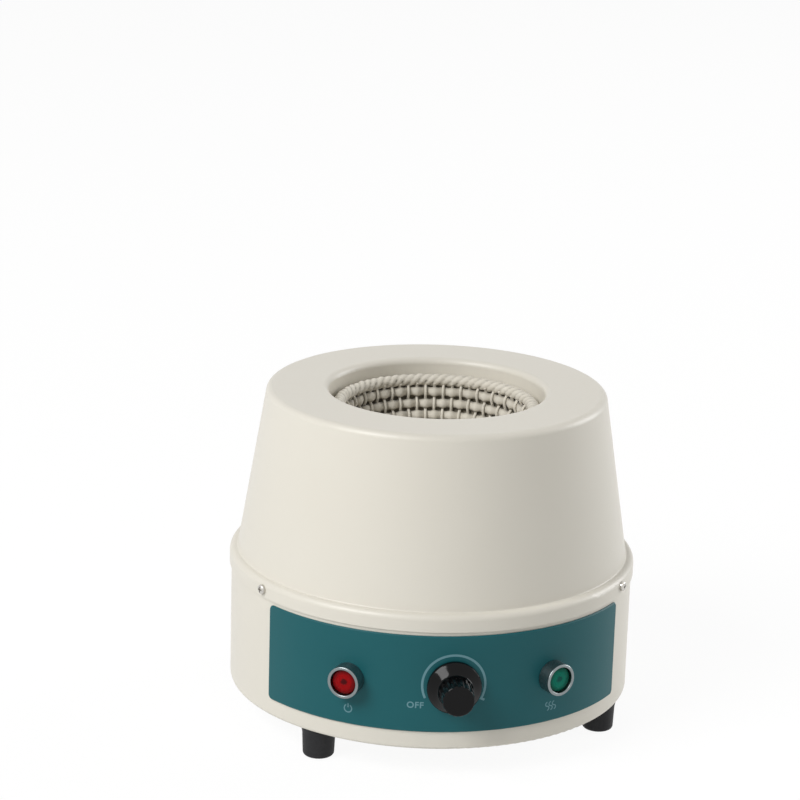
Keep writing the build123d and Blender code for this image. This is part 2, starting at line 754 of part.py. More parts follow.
# Insulation blanket: a packed fibre block between nest and bowl, up to the mouth's rim
blanket_top = top_z - rim_depth - blanket_clearance
blanket_hollow = nest_outside + blanket_clearance
blanket_radius = bowl_radius - bowl_sheet - blanket_clearance
blanket_z = bowl_z + bowl_sheet + blanket_clearance
rivet_spots = [outward(block_angle + 60 + angle) * rivet_circle_radius for angle in rivet_angles]
block_right = Vector(cos(radians(block_angle)), sin(radians(block_angle)), 0)
lead_offsets = (-lead_spacing / 2, lead_spacing / 2)
lead_spots = [outward(block_angle) * lead_circle_radius + block_right * offset for offset in lead_offsets]
with BuildPart() as insulation_blanket:
    with BuildSketch(Plane.XZ):
        with BuildLine():
            FilletPolyline(
                (0, blanket_z),
                (blanket_radius, blanket_z),
                (blanket_radius, blanket_top),
                radius=bowl_bend - bowl_sheet - blanket_clearance,
            )
            Polyline((blanket_radius, blanket_top), (0, blanket_top), (0, blanket_z))
        make_face()
        with Locations((0, nest_z)):
            Circle(blanket_hollow, mode=Mode.SUBTRACT)
            Rectangle(
                2 * blanket_hollow,
                nest_drop,
                align=(Align.CENTER, Align.MIN),
                mode=Mode.SUBTRACT,
            )
        split(bisect_by=Plane.YZ)
    revolve(axis=Axis.Z)
    with BuildSketch(Plane.XY.offset(bowl_z)):
        with Locations(lead_spots):
            Circle(bush_radius + blanket_clearance)
    extrude(amount=bowl_sheet + bush_length + blanket_clearance, mode=Mode.SUBTRACT)
    with BuildSketch(Plane.XY.offset(bowl_z)):
        with Locations(lead_spots):
            Circle(lead_radius + lead_clearance)
    extrude(amount=bowl_depth, mode=Mode.SUBTRACT)
    with BuildSketch(Plane.XY.offset(bowl_z)):
        with Locations(rivet_spots):
            Circle(rivet_head_radius + rivet_pocket_clearance)
    extrude(amount=bowl_sheet + rivet_head_height + rivet_pocket_clearance, mode=Mode.SUBTRACT)
insulation_blanket.part.label = "insulation_blanket"
export_step(insulation_blanket.part, "parts/insulation_blanket.step")

# Support bowl: spun aluminium, riveted to the heat shield
with BuildPart() as support_bowl:
    with BuildSketch(Plane.XZ):
        with BuildLine():
            FilletPolyline(
                (0, bowl_z),
                (bowl_radius, bowl_z),
                (bowl_radius, top_z - sheet - bowl_clearance),
                radius=bowl_bend,
            )
            offset(amount=bowl_sheet, side=Side.LEFT)
        make_face()
    revolve(axis=Axis.Z)
    with BuildSketch(Plane.XY.offset(bowl_z)):
        with Locations(lead_spots):
            Circle(bush_radius + hole_clearance)
        with Locations(rivet_spots):
            Circle(rivet_radius + thread_clearance)
    extrude(amount=bowl_sheet, mode=Mode.SUBTRACT)
support_bowl.part.label = "support_bowl"
export_step(support_bowl.part, "parts/support_bowl.step")

with BuildPart() as heat_shield:
    with BuildSketch(Plane.XY.offset(shield_z - seat_clearance)):
        Circle(shield_radius)
        with Locations(lead_spots):
            Circle(bush_radius + hole_clearance, mode=Mode.SUBTRACT)
        with Locations(rivet_spots):
            Circle(rivet_radius + thread_clearance, mode=Mode.SUBTRACT)
        with Locations(post_spots):
            Circle(post_screw_radius + hole_clearance, mode=Mode.SUBTRACT)
    extrude(amount=shield_thickness)
heat_shield.part.label = "heat_shield"
export_step(heat_shield.part, "parts/heat_shield.step")

rivet_low = shield_z - 2 * seat_clearance
rivet_high = bowl_z + bowl_sheet + seat_clearance
with BuildPart() as bowl_rivets:
    with BuildSketch(Plane.XY.offset(rivet_low)):
        with Locations(rivet_spots):
            Circle(rivet_radius)
    extrude(amount=rivet_high - rivet_low)
    with BuildSketch(Plane.XY.offset(rivet_low)):
        with Locations(rivet_spots):
            Circle(rivet_head_radius)
    extrude(amount=-rivet_head_height)
    with BuildSketch(Plane.XY.offset(rivet_high)):
        with Locations(rivet_spots):
            Circle(rivet_head_radius)
    extrude(amount=rivet_head_height)
bowl_rivets.part.label = "bowl_rivets"
export_step(bowl_rivets.part, "parts/bowl_rivets.step")

# Posts from the floor to the heat shield, tapped at both ends
post_low = floor_top + seat_clearance
post_high = shield_z - 2 * seat_clearance
shield_top = shield_z - seat_clearance + shield_thickness
with BuildPart() as support_posts:
    with BuildSketch(Plane.XY.offset(post_low)):
        with Locations(post_spots):
            Circle(post_radius)
    extrude(amount=post_high - post_low)
    for end in (post_low, post_high - post_screw_length):
        with BuildSketch(Plane.XY.offset(end)):
            with Locations(post_spots):
                Circle(post_screw_radius + thread_clearance)
    extrude(amount=post_screw_length, mode=Mode.SUBTRACT)
support_posts.part.label = "support_posts"
export_step(support_posts.part, "parts/support_posts.step")

with BuildPart() as post_screws:
    for seat, reach in ((foot_height - seat_clearance, 1), (shield_top + seat_clearance, -1)):
        with BuildSketch(Plane.XY.offset(seat)):
            with Locations(post_spots):
                Circle(post_screw_radius)
        extrude(amount=reach * post_screw_length)
        with BuildSketch(Plane.XY.offset(seat)):
            with Locations(post_spots):
                Circle(post_head_radius)
        extrude(amount=-reach * post_head_height)
        with BuildSketch(Plane.XY.offset(seat - reach * post_head_height)):
            with Locations(post_spots):
                cross_recess(post_head_radius)
        extrude(amount=reach * post_head_height * recess_depth, mode=Mode.SUBTRACT)
post_screws.part.label = "post_screws"
export_step(post_screws.part, "parts/post_screws.step")

# Circuit board on four hexagonal spacers
board_front = board_offset - board_width / 2
board_rear = board_offset + board_width / 2
with BuildPart() as circuit_board:
    with BuildSketch(Plane.XY.offset(board_z + seat_clearance)):
        with Locations((0, board_offset)):
            RectangleRounded(board_length, board_width, board_corner)
        with Locations(spacer_spots):
            Circle(board_screw_radius + hole_clearance, mode=Mode.SUBTRACT)
    extrude(amount=board_thickness - 2 * seat_clearance)
circuit_board.part.label = "circuit_board"
export_step(circuit_board.part, "parts/circuit_board.step")

with BuildPart() as board_spacers:
    with BuildSketch(Plane.XY.offset(floor_top + seat_clearance)):
        with Locations(spacer_spots):
            RegularPolygon(corner_radius(spacer_flats), 6)
            Circle(board_screw_radius + thread_clearance, mode=Mode.SUBTRACT)
    extrude(amount=spacer_height - seat_clearance)
board_spacers.part.label = "board_spacers"
export_step(board_spacers.part, "parts/board_spacers.step")

with BuildPart() as board_screws:
    for seat, reach in ((foot_height - seat_clearance, 1), (board_top, -1)):
        with BuildSketch(Plane.XY.offset(seat)):
            with Locations(spacer_spots):
                Circle(board_screw_radius)
        extrude(amount=reach * board_screw_length)
        with BuildSketch(Plane.XY.offset(seat)):
            with Locations(spacer_spots):
                Circle(board_head_radius)
        extrude(amount=-reach * board_head_height)
board_screws.part.label = "board_screws"
export_step(board_screws.part, "parts/board_screws.step")

# Heat sink with its fins to the rear, triac against its front
sink_front = board_rear - heat_sink_inset - heat_sink_fin_depth - heat_sink_base
with BuildPart() as heat_sink:
    with BuildSketch(Plane.XY.offset(board_top)):
        with Locations((0, sink_front + heat_sink_base / 2)):
            Rectangle(heat_sink_width, heat_sink_base)
        with Locations((0, sink_front + heat_sink_base + heat_sink_fin_depth / 2)):
            fin_pitch = (heat_sink_width - heat_sink_fin_thickness) / (heat_sink_fins - 1)
            with GridLocations(fin_pitch, 0, heat_sink_fins, 1):
                Rectangle(heat_sink_fin_thickness, heat_sink_fin_depth)
    extrude(amount=heat_sink_height)
heat_sink.part.label = "heat_sink"
export_step(heat_sink.part, "parts/heat_sink.step")

with BuildPart() as triac:
    with BuildSketch(Plane.XY.offset(board_top + triac_leg)):
        with Locations((0, sink_front - seat_clearance - triac_depth / 2)):
            Rectangle(triac_width, triac_depth)
    extrude(amount=triac_height)
    chamfer(triac.edges().group_by(Axis.Y)[0], triac_edge)
    with BuildSketch(Plane.XY.offset(board_top)):
        with Locations((0, sink_front - seat_clearance - triac_depth / 2)):
            with GridLocations(triac_leg_pitch, 0, 3, 1):
                Rectangle(triac_leg_width, triac_leg_thickness)
    extrude(amount=triac_leg)
triac.part.label = "triac"
export_step(triac.part, "parts/triac.step")

component_y = board_front + components_inset
with BuildPart() as capacitor:
    with BuildSketch(Plane.XY.offset(board_top)):
        with Locations((capacitor_offset, component_y)):
            Rectangle(capacitor_length, capacitor_width)
    extrude(amount=capacitor_height)
    fillet(capacitor.edges().filter_by(Axis.Z), capacitor_edge)
    fillet(capacitor.edges().group_by(Axis.Z)[-1], capacitor_edge * 0.8)
capacitor.part.label = "capacitor"
export_step(capacitor.part, "parts/capacitor.step")

with BuildPart() as choke:
    with Locations((choke_offset, component_y, board_top + choke_winding)):
        Torus(choke_radius, choke_winding)
choke.part.label = "choke"
export_step(choke.part, "parts/choke.step")

fuse_z = board_top + fuse_height
fuse_end = fuse_length / 2
with BuildPart() as fuse:
    with BuildSketch(Plane.YZ.offset(-fuse_end)):
        with Locations((component_y, fuse_z)):
            Circle(fuse_radius)
    extrude(amount=fuse_length)
    for side in (-1, 1):
        with BuildSketch(Plane.YZ.offset(side * fuse_end)):
            with Locations((component_y, fuse_z)):
                Circle(fuse_radius + fuse_cap_thickness)
        extrude(amount=-side * fuse_cap_length)
fuse.part.label = "fuse"
export_step(fuse.part, "parts/fuse.step")

with BuildPart() as fuse_clips:
    clip_reach = fuse_radius + fuse_cap_thickness + seat_clearance
    for side in (-1, 1):
        with BuildSketch(Plane.YZ.offset(side * (fuse_end - fuse_cap_length / 2) - clip_width / 2)):
            with Locations((component_y, fuse_z)):
                Circle(clip_reach + clip_thickness)
                Circle(clip_reach, mode=Mode.SUBTRACT)
                Rectangle(
                    2 * clip_reach + 4 * clip_thickness,
                    2 * clip_reach,
                    align=(Align.CENTER, Align.MIN),
                    mode=Mode.SUBTRACT,
                )
            with Locations((component_y, board_top)):
                Rectangle(
                    clip_reach,
                    fuse_height - clip_reach - clip_thickness / 2,
                    align=(Align.CENTER, Align.MIN),
                )
    extrude(amount=clip_width)
fuse_clips.part.label = "fuse_clips"
export_step(fuse_clips.part, "parts/fuse_clips.step")

strip_y = board_front + strip_inset
with BuildPart() as board_terminals:
    with BuildSketch(Plane.XY.offset(board_top)):
        with Locations((0, strip_y)):
            Rectangle(strip_ways * strip_pitch, strip_width)
    extrude(amount=strip_height)
    chamfer(board_terminals.edges().filter_by(Axis.X).group_by(Axis.Z)[-1], strip_edge)
    with BuildSketch(Plane.XY.offset(board_top + strip_height)):
        with Locations((0, strip_y)):
            with GridLocations(strip_pitch, 0, strip_ways, 1):
                Circle(strip_screw_radius)
    extrude(amount=-strip_height / 2, mode=Mode.SUBTRACT)
board_terminals.part.label = "board_terminals"
export_step(board_terminals.part, "parts/board_terminals.step")

# Ceramic terminal block on the floor, with its screw and nut
block_low = floor_top + seat_clearance
block_top = block_low + block_height
block_hole_z = block_low + block_hole_height
block_plane = Plane(origin=block_spot + Vector(0, 0, block_low), x_dir=outward(block_angle))
with BuildPart() as terminal_block:
    with BuildSketch(block_plane):
        Rectangle(block_width, block_length)
        Circle(board_screw_radius + hole_clearance, mode=Mode.SUBTRACT)
    extrude(amount=block_height)
    fillet(terminal_block.edges().filter_by(Axis.Z).filter_by(GeomType.LINE), block_edge)
    with BuildSketch(radial_plane(block_angle, 0, block_hole_z)):
        with GridLocations(lead_spacing, 0, 2, 1):
            Circle(lead_radius + lead_clearance)
    extrude(amount=skirt_radius, mode=Mode.SUBTRACT)
    with BuildSketch(block_plane.offset(block_height)):
        with GridLocations(block_width / 2, lead_spacing, 2, 2):
            Circle(strip_screw_radius)
    extrude(amount=-(block_height - block_hole_height), mode=Mode.SUBTRACT)
terminal_block.part.label = "terminal_block"
export_step(terminal_block.part, "parts/terminal_block.step")

with BuildPart() as block_screw:
    with BuildSketch(Plane.XY.offset(foot_height - seat_clearance)):
        with Locations(block_spot):
            Circle(board_screw_radius)
    extrude(amount=block_top + cover_nut_height + 2 * seat_clearance + screw_proud - foot_height)
    with BuildSketch(Plane.XY.offset(foot_height - seat_clearance)):
        with Locations(block_spot):
            Circle(board_head_radius)
    extrude(amount=-board_head_height)
block_screw.part.label = "block_screw"
export_step(block_screw.part, "parts/block_screw.step")

with BuildPart() as block_nut:
    with BuildSketch(Plane.XY.offset(block_top + seat_clearance)):
        with Locations(block_spot):
            RegularPolygon(corner_radius(cover_nut_flats), 6)
            Circle(board_screw_radius + thread_clearance, mode=Mode.SUBTRACT)
    extrude(amount=cover_nut_height)
block_nut.part.label = "block_nut"
export_step(block_nut.part, "parts/block_nut.step")

# Heater leads: from the block inwards, then straight up through the bushes to the nest's underside
lead_reach = hypot(lead_circle_radius, lead_spacing / 2)
nest_under_z = nest_z - sqrt(nest_outside**2 - lead_reach**2) - lead_clearance
with BuildPart() as heater_leads:
    for spot in lead_spots:
        lead_plane = Plane(
            origin=spot - outward(block_angle) * lead_circle_radius,
            x_dir=outward(block_angle),
            z_dir=outward(block_angle).cross(Vector(0, 0, 1)),
        )
        with BuildLine(lead_plane) as lead_path:
            FilletPolyline(
                (block_circle_radius - block_width / 2 + lead_entry, block_hole_z),
                (lead_circle_radius, block_hole_z),
                (lead_circle_radius, nest_under_z - lead_radius),
                radius=lead_bend,
            )
        with BuildSketch(Plane(origin=lead_path.line @ 0, z_dir=lead_path.line % 0)):
            Circle(lead_radius)
        sweep(path=lead_path.line)
heater_leads.part.label = "heater_leads"
export_step(heater_leads.part, "parts/heater_leads.step")

with BuildPart() as lead_bushes:
    bush_seat = shield_z - 2 * seat_clearance
    with BuildSketch(Plane.XY.offset(bush_seat)):
        with Locations(lead_spots):
            Circle(bush_flange_radius)
            Circle(lead_radius + lead_clearance, mode=Mode.SUBTRACT)
    extrude(amount=-bush_flange)
    with BuildSketch(Plane.XY.offset(bush_seat)):
        with Locations(lead_spots):
            Circle(bush_radius)
            Circle(lead_radius + lead_clearance, mode=Mode.SUBTRACT)
    extrude(amount=bush_length)
lead_bushes.part.label = "lead_bushes"
export_step(lead_bushes.part, "parts/lead_bushes.step")

# Leads from the lamps and the regulator to the board's terminals
strip_top = board_top + strip_height
blade_end = tail_end - seat_clearance - lamp_blade_length
wire_end = strip_top - strip_height / 2 + wire_radius
with BuildPart() as lamp_leads:
    for side in (-1, 1):
        lamp_out = outward(side * lamp_angle)
        lamp_right = Vector(cos(radians(lamp_angle)), side * sin(radians(lamp_angle)), 0)
        for blade in (-1, 1):
            blade_spot = lamp_right * (blade * lamp_blade_spacing / 2) + Vector(0, 0, control_z)
            way = (side * 2 + blade / 2) * strip_pitch
            with BuildLine() as wire_path:
                FilletPolyline(
                    blade_spot + lamp_out * (blade_end - seat_clearance),
                    blade_spot + lamp_out * (blade_end - wire_straight),
                    (way, strip_y, control_z + side * 2 * wire_radius),
                    (way, strip_y, wire_end),
                    radius=wire_bend,
                )
            with BuildSketch(Plane(origin=wire_path.line @ 0, z_dir=wire_path.line % 0)):
                Circle(wire_radius)
            sweep(path=wire_path.line)
lamp_leads.part.label = "lamp_leads"
export_step(lamp_leads.part, "parts/lamp_leads.step")

with BuildPart() as regulator_leads:
    for way in (-strip_pitch / 2, strip_pitch / 2):
        with BuildLine(Plane.YZ.offset(way)) as wire_path:
            FilletPolyline(
                (-lug_end + seat_clearance, control_z),
                (strip_y, control_z),
                (strip_y, wire_end),
                radius=wire_bend,
            )
        with BuildSketch(Plane(origin=wire_path.line @ 0, z_dir=wire_path.line % 0)):
            Circle(wire_radius)
        sweep(path=wire_path.line)
regulator_leads.part.label = "regulator_leads"
export_step(regulator_leads.part, "parts/regulator_leads.step")

# Cable gland in the rear wall: body, seal, dome nut and locknut round an open bore
gland_face = wall_radius + seat_clearance
gland_front = gland_face + gland_flange
spigot_end = gland_front + gland_spigot
gland_axis = radial_axis(180, gland_z)
with BuildPart() as cable_gland:
    with BuildSketch(radial_plane(180, gland_face, gland_z)):
        RegularPolygon(corner_radius(gland_flats), 6)
    extrude(amount=gland_flange)
    with BuildSketch(radial_plane(180, wall_inside - gland_tail, gland_z)):
        Circle(gland_thread_radius)
    extrude(amount=spigot_end - wall_inside + gland_tail)
    with BuildSketch(radial_plane(180, spigot_end - seal_length, gland_z)):
        Circle(gland_mouth)
    extrude(amount=seal_length, mode=Mode.SUBTRACT)
    with BuildSketch(radial_plane(180, wall_inside - gland_tail, gland_z)):
        Circle(gland_bore)
    extrude(amount=gland_tail + gland_flange + sheet, mode=Mode.SUBTRACT)
cable_gland.part.label = "cable_gland"
export_step(cable_gland.part, "parts/cable_gland.step")

with BuildPart() as gland_seal:
    with BuildSketch(radial_plane(180, spigot_end - seal_length + seat_clearance, gland_z)):
        Circle(gland_mouth - seal_clearance)
        Circle(seal_bore, mode=Mode.SUBTRACT)
    extrude(amount=seal_length)
gland_seal.part.label = "gland_seal"
export_step(gland_seal.part, "parts/gland_seal.step")

with BuildPart() as gland_nut:
    with BuildSketch(radial_plane(180, gland_front + seat_clearance, gland_z)):
        RegularPolygon(corner_radius(gland_flats), 6)
    extrude(amount=dome_length / 2)
    with BuildSketch(radial_plane(180, gland_front + seat_clearance + dome_length / 2, gland_z)):
        Circle(gland_flats / 2)
    extrude(amount=dome_length / 2)
    fillet(gland_nut.faces().sort_by(gland_axis)[-1].edges(), dome_bend)
    with BuildSketch(radial_plane(180, gland_front, gland_z)):
        Circle(gland_thread_radius + thread_clearance)
    extrude(amount=gland_spigot + 4 * seat_clearance, mode=Mode.SUBTRACT)
    with BuildSketch(radial_plane(180, gland_front, gland_z)):
        Circle(dome_opening)
    extrude(amount=2 * dome_length, mode=Mode.SUBTRACT)
gland_nut.part.label = "gland_nut"
export_step(gland_nut.part, "parts/gland_nut.step")

with BuildPart() as gland_locknut:
    with BuildSketch(radial_plane(180, flat_seat(wall_inside, corner_radius(locknut_flats)), gland_z)):
        RegularPolygon(corner_radius(locknut_flats), 6)
        Circle(gland_thread_radius + thread_clearance, mode=Mode.SUBTRACT)
    extrude(amount=-locknut_height)
gland_locknut.part.label = "gland_locknut"
export_step(gland_locknut.part, "parts/gland_locknut.step")

# Earth stud beside the gland, with two nuts
with BuildPart() as earth_stud:
    with BuildSketch(Plane.XY.offset(foot_height - seat_clearance)):
        with Locations(earth_spot):
            Circle(earth_stud_radius)
    extrude(amount=earth_stud_length)
    with BuildSketch(Plane.XY.offset(foot_height - seat_clearance)):
        with Locations(earth_spot):
            Circle(earth_head_radius)
    extrude(amount=-earth_head_height)
earth_stud.part.label = "earth_stud"
export_step(earth_stud.part, "parts/earth_stud.step")

with BuildPart() as earth_nuts:
    for layer in range(2):
        nut_low = floor_top + seat_clearance + layer * (foot_nut_height + seat_clearance)
        with BuildSketch(Plane.XY.offset(nut_low)):
            with Locations(earth_spot):
                RegularPolygon(corner_radius(foot_nut_flats), 6)
                Circle(earth_stud_radius + thread_clearance, mode=Mode.SUBTRACT)
    extrude(amount=foot_nut_height)
earth_nuts.part.label = "earth_nuts"
export_step(earth_nuts.part, "parts/earth_nuts.step")
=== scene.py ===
import math
import bpy
from mathutils import Matrix, Vector


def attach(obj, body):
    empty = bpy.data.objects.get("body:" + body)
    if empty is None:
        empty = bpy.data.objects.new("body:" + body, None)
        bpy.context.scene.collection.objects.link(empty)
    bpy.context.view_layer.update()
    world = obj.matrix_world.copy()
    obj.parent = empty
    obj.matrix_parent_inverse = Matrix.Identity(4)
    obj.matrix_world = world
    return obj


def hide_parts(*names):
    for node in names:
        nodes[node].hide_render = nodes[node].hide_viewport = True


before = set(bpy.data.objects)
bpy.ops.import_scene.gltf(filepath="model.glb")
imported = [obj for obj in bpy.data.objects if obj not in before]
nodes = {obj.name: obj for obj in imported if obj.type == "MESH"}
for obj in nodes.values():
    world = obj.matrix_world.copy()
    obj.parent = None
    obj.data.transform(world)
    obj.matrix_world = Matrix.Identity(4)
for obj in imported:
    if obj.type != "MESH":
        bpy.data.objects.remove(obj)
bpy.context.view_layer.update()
mm = 0.001
print("frame loaded:", len(nodes), "nodes")


def linear(code):
    parts = [int(code[i:i + 2], 16) / 255 for i in (0, 2, 4)]
    lit = [c / 12.92 if c <= 0.04045 else ((c + 0.055) / 1.055) ** 2.4 for c in parts]
    return (*lit, 1)


def addNode(tree, kind, settings=None, links=None, **options):
    node = tree.nodes.new(kind)
    for name, value in options.items():
        setattr(node, name, value)
    for socket, value in (settings or {}).items():
        node.inputs[socket].default_value = value
    for socket, source in (links or {}).items():
        tree.links.new(source, node.inputs[socket])
    return node


def startMaterial(name):
    material = bpy.data.materials.new(name)
    material.use_nodes = True
    material.node_tree.nodes.clear()
    return material, material.node_tree


def clearSelection():
    if bpy.context.object and bpy.context.object.mode != "OBJECT":
        bpy.ops.object.mode_set(mode="OBJECT")
    bpy.ops.object.select_all(action="DESELECT")


def pick(piece):
    clearSelection()
    piece.select_set(True)
    bpy.context.view_layer.objects.active = piece


def joinPieces(pieces):
    clearSelection()
    for piece in pieces:
        piece.select_set(True)
    bpy.context.view_layer.objects.active = pieces[0]
    if len(pieces) > 1:
        bpy.ops.object.join()
    return pieces[0]


def chooseFaces(piece, wanted):
    # goes into edit mode with just these faces selected
    pick(piece)
    bpy.ops.object.mode_set(mode="EDIT")
    bpy.ops.mesh.select_mode(type="FACE")
    bpy.ops.mesh.select_all(action="DESELECT")
    bpy.ops.object.mode_set(mode="OBJECT")
    for face in piece.data.polygons:
        face.select = wanted(face)
    bpy.ops.object.mode_set(mode="EDIT")


def addSolidify(piece, thickness):
    # outwards
    pick(piece)
    wall = piece.modifiers.new("wall", "SOLIDIFY")
    wall.thickness = thickness
    wall.offset = 1
    bpy.ops.object.modifier_apply(modifier=wall.name)


def finishPiece(piece, name, body, material, smoothAngle, replaced=()):
    pick(piece)
    bpy.ops.object.transform_apply(location=True, rotation=True, scale=True)
    bpy.ops.object.mode_set(mode="EDIT")
    bpy.ops.mesh.select_all(action="SELECT")
    bpy.ops.mesh.normals_make_consistent(inside=False)
    bpy.ops.object.mode_set(mode="OBJECT")
    bpy.ops.object.shade_smooth_by_angle(angle=math.radians(smoothAngle))
    piece.name = name
    piece.data.name = name
    piece.data.materials.clear()
    piece.data.materials.append(material)
    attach(piece, body)
    if replaced:
        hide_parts(*replaced)
    piece.select_set(False)
    return piece


# Camera, floor and light

view = {
    "lens": 121.38,         # mm
    "sensor": 36,
    "distance": 1324,
    "azimuth": -6.4,        # degrees left of the front
    "elevation": 16.06,
    "roll": 1.717,
    "target": (-17.86, 2.14, 156.98),
    "clip": (0.05, 60),     # m
}
azimuth, elevation, roll = (math.radians(view[key]) for key in ("azimuth", "elevation", "roll"))
lookBack = Vector((
    math.sin(azimuth) * math.cos(elevation),
    -math.cos(azimuth) * math.cos(elevation),
    math.sin(elevation),
))
levelRight = Vector((math.cos(azimuth), math.sin(azimuth), 0))
levelUp = lookBack.cross(levelRight)
rolledRight = levelRight * math.cos(roll) + levelUp * math.sin(roll)
rolledUp = levelUp * math.cos(roll) - levelRight * math.sin(roll)
cameraData = bpy.data.cameras.new("camera")
cameraData.lens = view["lens"]
cameraData.sensor_width = view["sensor"]
cameraData.clip_start, cameraData.clip_end = view["clip"]
camera = bpy.data.objects.new("camera", cameraData)
bpy.context.scene.collection.objects.link(camera)
cameraTurn = Matrix((rolledRight, rolledUp, lookBack)).transposed().to_4x4()
cameraPlace = (Vector(view["target"]) + lookBack * view["distance"]) * mm
camera.matrix_world = Matrix.Translation(cameraPlace) @ cameraTurn
bpy.context.scene.camera = camera
bpy.context.scene.view_settings.view_transform = "Standard"

studio = {
    "floorSize": 40,        # m
    "floorColour": "F2F2F1",
    "floorGlow": 0.9,       # share of the floor that the camera sees as plain white
    "glowStrength": 1.03,   # a little over white, so that only the shadow shows
    "fill": 0.25,           # world light on the object
    "key": {"place": (-2.05, -1.42, 2.25), "size": 1.7, "power": 86},
    "rim": {"place": (2.5, 0.93, 0.9), "size": 1.4, "power": 38},
    "aim": (0, 0, 0.09),
}


def seenPlainly(tree):
    # 1 for the rays by which the camera, metal and glass see the backdrop
    rays = addNode(tree, "ShaderNodeLightPath")
    sharp = addNode(tree, "ShaderNodeMath", operation="MAXIMUM", links={
        0: rays.outputs["Is Glossy Ray"], 1: rays.outputs["Is Transmission Ray"]})
    return addNode(tree, "ShaderNodeMath", operation="MAXIMUM", links={
        0: rays.outputs["Is Camera Ray"], 1: sharp.outputs[0]})


def studioWorld():
    world = bpy.data.worlds.new("softStudio")
    world.use_nodes = True
    tree = world.node_tree
    tree.nodes.clear()
    seen = seenPlainly(tree)
    light = addNode(tree, "ShaderNodeBackground",
                    {"Color": linear("FFFFFF"), "Strength": studio["fill"]})
    white = addNode(tree, "ShaderNodeBackground", {"Color": linear("FFFFFF"), "Strength": 1})
    mixed = addNode(tree, "ShaderNodeMixShader", links={
        0: seen.outputs[0], 1: light.outputs[0], 2: white.outputs[0]})
    addNode(tree, "ShaderNodeOutputWorld", links={"Surface": mixed.outputs[0]})
    bpy.context.scene.world = world


def studioFloor():
    clearSelection()
    bpy.ops.mesh.primitive_plane_add(size=studio["floorSize"], location=(0, 0, 0))
    floor = bpy.context.object
    floor.name = "studioFloor"
    material, tree = startMaterial("paintedBoard")    # plain matt board, no pattern to draw the eye
    seen = seenPlainly(tree)
    share = addNode(tree, "ShaderNodeMath", {1: studio["floorGlow"]}, {0: seen.outputs[0]},
                    operation="MULTIPLY")
    matt = addNode(tree, "ShaderNodeBsdfDiffuse", {"Color": linear(studio["floorColour"])})
    glow = addNode(tree, "ShaderNodeEmission",
                   {"Color": linear("FFFFFF"), "Strength": studio["glowStrength"]})
    mixed = addNode(tree, "ShaderNodeMixShader", links={
        0: share.outputs[0], 1: matt.outputs[0], 2: glow.outputs[0]})
    addNode(tree, "ShaderNodeOutputMaterial", links={"Surface": mixed.outputs[0]})
    floor.data.materials.append(material)


def studioLamp(name):
    lamp = studio[name]
    clearSelection()
    bpy.ops.object.light_add(type="AREA", location=lamp["place"])
    light = bpy.context.object
    light.name = name + "Light"
    light.data.size = lamp["size"]
    light.data.energy = lamp["power"]
    away = Vector(lamp["place"]) - Vector(studio["aim"])
    light.rotation_euler = away.to_track_quat("Z", "Y").to_euler()


studioWorld()
studioFloor()
studioLamp("key")
studioLamp("rim")
print("camera, floor and light in place")


# Finishes: each look follows from what the surface really is; grain, patch and relief are in mm.

def surfaceFinish(name, look):
    material, tree = startMaterial(name)
    place = addNode(tree, "ShaderNodeTexCoord")
    stretched = addNode(tree, "ShaderNodeMapping", {"Scale": look.get("stretch", (1, 1, 1))},
                        {"Vector": place.outputs["Object"]})
    drift = addNode(tree, "ShaderNodeTexNoise", {"Scale": 1 / (look["patch"] * mm), "Detail": 3},
                    {"Vector": place.outputs["Object"]})
    grain = addNode(tree, "ShaderNodeTexNoise", {"Scale": 1 / (look["grain"] * mm), "Detail": 2},
                    {"Vector": stretched.outputs["Vector"]})
    tone = addNode(tree, "ShaderNodeMixRGB",
                   {"Color1": linear(look["colour"]), "Color2": linear(look["shade"])},
                   {"Fac": drift.outputs["Fac"]})
    polish = addNode(tree, "ShaderNodeMapRange",
                     {"From Min": 0.3, "From Max": 0.7, "To Min": look["roughness"][0],
                      "To Max": look["roughness"][1]},
                     {"Value": grain.outputs["Fac"]})
    relief = addNode(tree, "ShaderNodeBump", {"Strength": 1, "Distance": look["relief"] * mm},
                     {"Height": grain.outputs["Fac"]})
    shader = addNode(tree, "ShaderNodeBsdfPrincipled",
                     {"Metallic": look.get("metallic", 0), **look.get("sockets", {})},
                     {"Base Color": tone.outputs["Color"], "Roughness": polish.outputs["Result"],
                      "Normal": relief.outputs["Normal"]})
    addNode(tree, "ShaderNodeOutputMaterial", links={"Surface": shader.outputs[0]})
    return material


# Polyester powder coat on steel: satin, with the faint orange peel of cured powder
creamPowderCoat = surfaceFinish("creamPowderCoat", {
    "colour": "DDD9CE", "shade": "DAD5C9", "patch": 70, "grain": 1.4, "relief": 0.012,
    "roughness": (0.36, 0.42)})
# Screen-printed polyester film: flat teal with a fine satin emboss
tealPolyesterFilm = surfaceFinish("tealPolyesterFilm", {
    "colour": "11565C", "shade": "14595F", "patch": 30, "grain": 0.35, "relief": 0.004,
    "roughness": (0.4, 0.5), "sockets": {"Specular IOR Level": 0.25}})
# Screen ink: matt grey-blue
paleInk = surfaceFinish("paleInk", {
    "colour": "65929B", "shade": "5E8A93", "patch": 4, "grain": 0.3, "relief": 0.003,
    "roughness": (0.5, 0.6)})
# Chromium on turned brass: mirror bright, with faint turning marks
chromedBrass = surfaceFinish("chromedBrass", {
    "colour": "8E9596", "shade": "7F8688", "patch": 5, "grain": 0.3, "relief": 0.002,
    "roughness": (0.26, 0.34), "metallic": 1})
# Phenolic moulding: deep black, hard gloss from the polished mould
blackPhenolic = surfaceFinish("blackPhenolic", {
    "colour": "040405", "shade": "070708", "patch": 6, "grain": 1.2, "relief": 0.002,
    "roughness": (0.09, 0.14), "sockets": {"Specular IOR Level": 0.17}})
